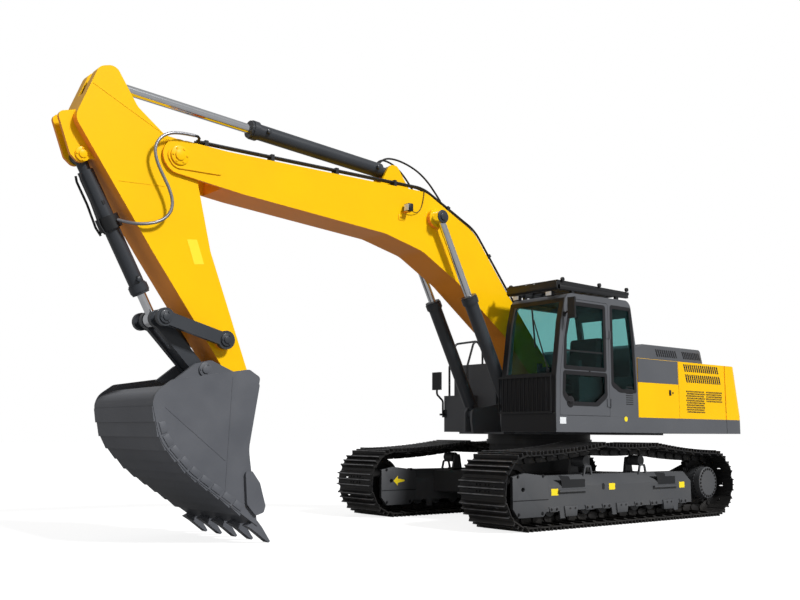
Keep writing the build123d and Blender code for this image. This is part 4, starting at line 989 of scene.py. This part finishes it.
@dataclass
class WorkingArm:
    """Boom, arm, bucket and their cylinders."""

    tip: Flat = (6.12, 4.225)
    lift: Flat = (2.33, 4.09)
    lift_base: Flat = (0.98, 1.46)
    crowd_base: Flat = (2.93, 4.67)
    crowd: Flat = (6.94, 4.95)
    curl_base: Flat = (7.15, 4.07)
    rocker: Flat = (5.49, 2.2)
    rod_pin: Flat = (6.23, 2.4)
    ear: Flat = (5.71, 1.86)
    bucket: Flat = (5.24, 1.66)
    arm_half: float = 0.215
    bucket_half: float = 0.77

    @staticmethod
    def cap(part: Bench, pin: Flat, side: int, y: float, radius: float, bolts: int = 0) -> None:
        """Pin end with its flange.

        Args:
            part: Mesh to add to.
            pin: Place of the pin.
            side: Side of the object that it is on.
            y: Distance of the surface from the middle.
            radius: Radius of the flange.
            bolts: Bolts round it.
        """
        x, z = pin
        part.rod((x, side * (y - 0.002), z), (x, side * (y + 0.018), z), radius, 40, bevel=0.004)
        part.rod((x, side * (y + 0.016), z), (x, side * (y + 0.032), z), radius * 0.55, 32, bevel=0.004)
        if bolts:
            part.bolts(part.circle((x, side * (y + 0.017), z), Along.Y, radius * 0.76, bolts), (0, side, 0), 0.011,
                       0.01)

    def caps(self) -> None:
        """Pin ends on the boom, the arm, the rockers and the bucket."""
        rows = (
            ("boom_tip", YELLOW, "boom", ((self.tip, 0.269, 0.11, 6),)),
            ("lift_pin", SLATE, "boom_rods", ((self.lift, 0.43, 0.092, 0),)),
            ("arm", YELLOW, "arm", ((self.crowd, 0.11, 0.085, 4), (self.curl_base, 0.11, 0.08, 4))),
            ("rocker", SLATE, "rocker", ((self.rocker, 0.33, 0.072, 3), (self.rod_pin, 0.33, 0.072, 3))),
            ("bucket", BUCKET, "bucket", ((self.bucket, 0.27, 0.085, 3), (self.ear, 0.27, 0.08, 3))))
        for name, finish, body, pins in rows:
            part = Bench()
            for side in (-1, 1):
                for pin, y, radius, bolts in pins:
                    self.cap(part, pin, side, y, radius, bolts)
            part.finish(name + "_pin_caps", finish, body)

    @staticmethod
    def gland(part: Bench, base: Flat, pin: Flat, y: float, length: float, radius: float,
              ports: tuple[float, ...] = ()) -> None:
        """Bolted gland at the open end of a barrel.

        Args:
            part: Mesh to add to.
            base: Pin of the barrel.
            pin: Pin of the rod.
            y: Place across the machine.
            length: Length of the barrel.
            radius: Outer radius of the barrel.
            ports: Shares of the length where a port block stands.
        """
        start = Vector((base[0], y, base[1]))
        way = (Vector((pin[0], y, pin[1])) - start).normalized()
        side = Vector((0, 1, 0))
        across = way.cross(side)
        part.ring(start + way * (length - 0.105), start + way * (length - 0.03), radius + 0.02, radius + 0.004)
        for index in range(10):
            angle = math.tau * index / 10
            out = across * math.cos(angle) + side * math.sin(angle)
            part.bolts([start + way * (length - 0.031) + out * (radius + 0.01)], way, 0.008, 0.014)
        for share in ports:
            block = start + way * length * share
            part.rod(block + side * (radius - 0.006), block + side * (radius + 0.035), 0.03, 6, bevel=0.004)

    def glands(self) -> None:
        """Glands of the four cylinders."""
        part = Bench()
        self.gland(part, self.crowd_base, self.crowd, 0, 2.18, 0.098, (0.12, 0.9))
        part.finish("arm_cylinder_gland", SLATE, "arm_cylinder")
        self.gland(part, self.curl_base, self.rod_pin, 0, 1.6, 0.086, (0.9,))
        part.finish("bucket_cylinder_gland", SLATE, "bucket_cylinder")
        for side in (-1, 1):
            self.gland(part, self.lift_base, self.lift, side * 0.375, 1.8, 0.095)
        part.finish("boom_cylinder_glands", SLATE, "boom_cylinders")

    def arm_trim(self) -> None:
        """Weld seams and the blank sign on the arm."""
        part = Bench()
        for y in (-1, 1):
            face = y * self.arm_half
            for start, end in (((7.12, 4.84), (6.32, 4.46)), ((6.78, 3.83), (6.26, 3.86)), ((6.3, 4.4), (6.2, 4.4))):
                part.strip(start, end, 0.006, face - y * 0.001, face + y * 0.0035)
        part.finish("arm_weld_seams", YELLOW, "arm")
        face = self.arm_half
        part.outline([(5.965, 3.3), (5.845, 3.315), (5.745, 3.045), (5.865, 3.03)], Along.Y, face, face + 0.002,
                     round_off=0.01)
        part.finish("blank_sign", SIGN, "arm")

    def work_light(self) -> None:
        """Work light on the side of the boom, with its wire."""
        part = Bench()
        part.box((2.86, 2.96), (0.254, 0.262), (3.98, 4.06), 0.003)
        part.outline([(2.88, 4.02), (2.94, 4.02), (2.9, 4.1), (2.84, 4.1)], Along.Y, 0.262, 0.272)
        part.box((2.83, 2.9), (0.262, 0.36), (4.085, 4.095), 0.003)
        part.finish("work_light_bracket", YELLOW, "boom")
        part.box((2.81, 2.89), (0.28, 0.39), (4.095, 4.2), 0.012)
        part.finish("work_light", PLASTIC, "boom")
        part.box((2.889, 2.893), (0.29, 0.38), (4.105, 4.19), 0.002)
        part.finish("work_light_lens", PALE, "boom")
        part.pipe([(2.82, 0.33, 4.14), (2.74, 0.3, 4.1), (2.6, 0.266, 4.14), (2.53, 0.266, 4.3), (2.52, 0.266, 4.44)],
                  0.005)
        part.finish("work_light_wire", RUBBER, "boom")

    def bucket_trim(self) -> None:
        """Heel shrouds, seams and cutter bolts of the bucket."""
        back = [(5.49, 0.345), (5.612, 0.43), (5.74, 0.516), (5.87, 0.605), (6.0, 0.694), (6.122, 0.788),
                (6.232, 0.898), (6.34, 1.01), (6.424, 1.138), (6.47, 1.28)]
        part = Bench()
        for side in (-1, 1):
            face = side * self.bucket_half
            for start, end in zip(back, back[1:]):
                low, high = Vector(start), Vector(end)
                along = (high - low).normalized()
                inward = Vector((-along.y, along.x))
                corners = [low + along * 0.012, high - along * 0.012, high - along * 0.02 + inward * 0.07,
                           low + along * 0.02 + inward * 0.07]
                part.outline([tuple(point) for point in corners], Along.Y, face - side * 0.002, face + side * 0.009,
                             bevel=0.003)
            for start, end, half in (((5.64, 1.76), (5.69, 0.5), 0.004), ((6.4, 1.42), (5.7, 0.88), 0.0025)):
                part.strip(start, end, half, face, face + side * 0.003)
        part.finish("bucket_shrouds", BUCKET, "bucket")
        for side in (-1, 1):
            face = side * (self.bucket_half + 0.017)
            part.bolts([(5.427, face, 0.56), (5.42, face, 0.49), (5.405, face, 0.41)], (0, side, 0), 0.02, 0.016)
        part.finish("cutter_bolts", BOLT, "bucket")

    def build(self) -> None:
        """Dress the working arm."""
        dress(YELLOW, "boom", "arm")
        dress(SLATE, "boom_cylinder_left", "boom_cylinder_right", "arm_cylinder", "bucket_cylinder", "rocker",
              "bucket_link")
        dress(CHROME, "boom_rod_left", "boom_rod_right", "arm_rod", "bucket_rod")
        dress(BUCKET, "bucket", "bucket_teeth", "side_cutters")
        dress(DARK, "boom_pipes", "cylinder_pipes")
        self.caps()
        self.glands()
        self.arm_trim()
        self.work_light()
        self.bucket_trim()


@dataclass
class Hoses:
    """Free hoses of the boom and the arm, each with its own length."""

    bucket_length: float = 1.932
    bucket_diameter: float = 0.036
    bucket_route: tuple[Point, ...] = (
        (5.978, 0.318, 4.472), (6.13, 0.322, 4.47), (6.29, 0.326, 4.435), (6.405, 0.33, 4.345), (6.448, 0.33, 4.215),
        (6.41, 0.33, 4.075), (6.33, 0.33, 3.935), (6.25, 0.33, 3.8), (6.205, 0.33, 3.66), (6.23, 0.325, 3.53),
        (6.335, 0.312, 3.432), (6.48, 0.292, 3.384), (6.63, 0.235, 3.38), (6.738, 0.132, 3.422))
    arm_length: float = 1.117
    arm_diameter: float = 0.026
    arm_route: tuple[Point, ...] = (
        (2.194, 0.198, 4.406), (2.275, 0.192, 4.5), (2.385, 0.18, 4.62), (2.54, 0.15, 4.745), (2.72, 0.105, 4.83),
        (2.9, 0.07, 4.868), (3.05, 0.045, 4.85), (3.11, 0.035, 4.7832))

    @staticmethod
    def hose(node: str, route: tuple[Point, ...] | list[Point], length: float, diameter: float, bodies: tuple[str, str],
             finish: Finish) -> None:
        """One hose as a fixed tube along its route.

        Args:
            node: CAD node that it stands for.
            route: Control points in metres from the swing axis.
            length: Real length; not used.
            diameter: Outer diameter.
            bodies: Bodies that hold its start and its end; not used.
            finish: Its finish.
        """
        points = [(x + SWING_X, y, z) for x, y, z in route]
        path = [tuple(vert.co) for vert in smooth_line(points, 0.0).vertices]
        tube = smooth_line(points, diameter / 2, 6)
        tube.shade_smooth()
        tube.materials.clear()
        tube.materials.append(finish.build())
        piece = stand(node + "_cord", tube)
        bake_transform(piece)
        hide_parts(node)

    def build(self) -> None:
        """All three hoses."""
        self.hose("bucket_hose", self.bucket_route, self.bucket_length, self.bucket_diameter, ("boom", "arm"),
                  BRAID)
        for side, name in ((1, "left"), (-1, "right")):
            route = [(x, side * y, z) for x, y, z in self.arm_route]
            self.hose("arm_hose_" + name, route, self.arm_length, self.arm_diameter, ("boom", "arm_cylinder"), RUBBER)


@dataclass
class Studio:
    """Floor, light and camera."""

    eye: Point = (10.55, 9.561, 1.164)
    azimuth: float = 230.66
    pitch: float = 8.258
    roll: float = 0.405
    lens: float = 41.73

    def camera(self) -> None:
        """Camera where the photograph was taken from."""
        azimuth, pitch, roll = (math.radians(value) for value in (self.azimuth, self.pitch, self.roll))
        ahead = Vector((math.cos(azimuth) * math.cos(pitch), math.sin(azimuth) * math.cos(pitch), math.sin(pitch)))
        right = ahead.cross(Vector((0, 0, 1))).normalized()
        upward = right.cross(ahead)
        across = right * math.cos(roll) + upward * math.sin(roll)
        above = upward * math.cos(roll) - right * math.sin(roll)
        data = bpy.data.cameras.new("camera")
        data.lens = self.lens
        data.sensor_width = 36
        data.clip_end = 200
        camera = stand("camera", data)
        turn = Matrix((across, above, -ahead)).transposed().to_4x4()
        camera.matrix_world = Matrix.Translation(Vector(self.eye) + Vector((SWING_X, 0, 0))) @ turn
        bpy.context.scene.camera = camera

    @staticmethod
    def floor() -> None:
        """Pale floor that looks white and keeps the shadow."""
        work = bmesh.new()
        bmesh.ops.create_grid(work, x_segments=1, y_segments=1, size=90)
        bmesh.ops.translate(work, vec=(0, 0, -0.002), verts=work.verts[:])
        data = bpy.data.meshes.new("floor")
        work.to_mesh(data)
        work.free()
        ground = stand("floor", data)
        material = bpy.data.materials.new("floor_white")
        tree = Tree(material)
        glow = tree.add("Math", {0: tree.seen(), 1: 0.84}, operation="MULTIPLY").outputs[0]
        tree.fill("Principled BSDF", {"Base Color": (0.3, 0.3, 0.3, 1), "Roughness": 0.9, "Emission Strength": glow,
                                      "Emission Color": (1, 1, 1, 1)})
        data.materials.append(material)

    @staticmethod
    def world() -> None:
        """Even sky that looks white to the camera."""
        world = bpy.data.worlds.new("sky")
        bpy.context.scene.world = world
        tree = Tree(world)
        level = tree.add("MapRange", {"Value": tree.seen(), "To Min": 0.36, "To Max": 1.0}).outputs["Result"]
        tree.fill("Background", {"Color": (1, 1, 1, 1), "Strength": level})

    @staticmethod
    def lamp(name: str, way: Point, strength: float, angle: float) -> None:
        """Soft sun.

        Args:
            name: Name of the lamp.
            way: Direction that the light travels in.
            strength: Its strength.
            angle: How soft it is, in degrees.
        """
        data = bpy.data.lights.new(name, "SUN")
        data.energy = strength
        data.angle = math.radians(angle)
        lamp = stand(name, data)
        lamp.rotation_euler = Vector(way).to_track_quat("-Z", "Y").to_euler()

    def build(self) -> None:
        """Set the stage."""
        bpy.context.scene.view_settings.view_transform = "Standard"
        self.world()
        self.floor()
        self.lamp("key", (0.2, -0.8, -0.66), 3.3, 8)
        self.lamp("fill", (-0.9, -0.2, -0.4), 0.22, 30)
        self.camera()


def main() -> None:
    """Build every sub-assembly in order."""
    logging.basicConfig(level=logging.INFO, format="%(name)s %(message)s")
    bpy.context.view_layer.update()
    Studio().build()
    Hoses().build()
    Undercarriage().build()
    House().build()
    Cab().build()
    WorkingArm().build()


if __name__ == "__main__":
    main()
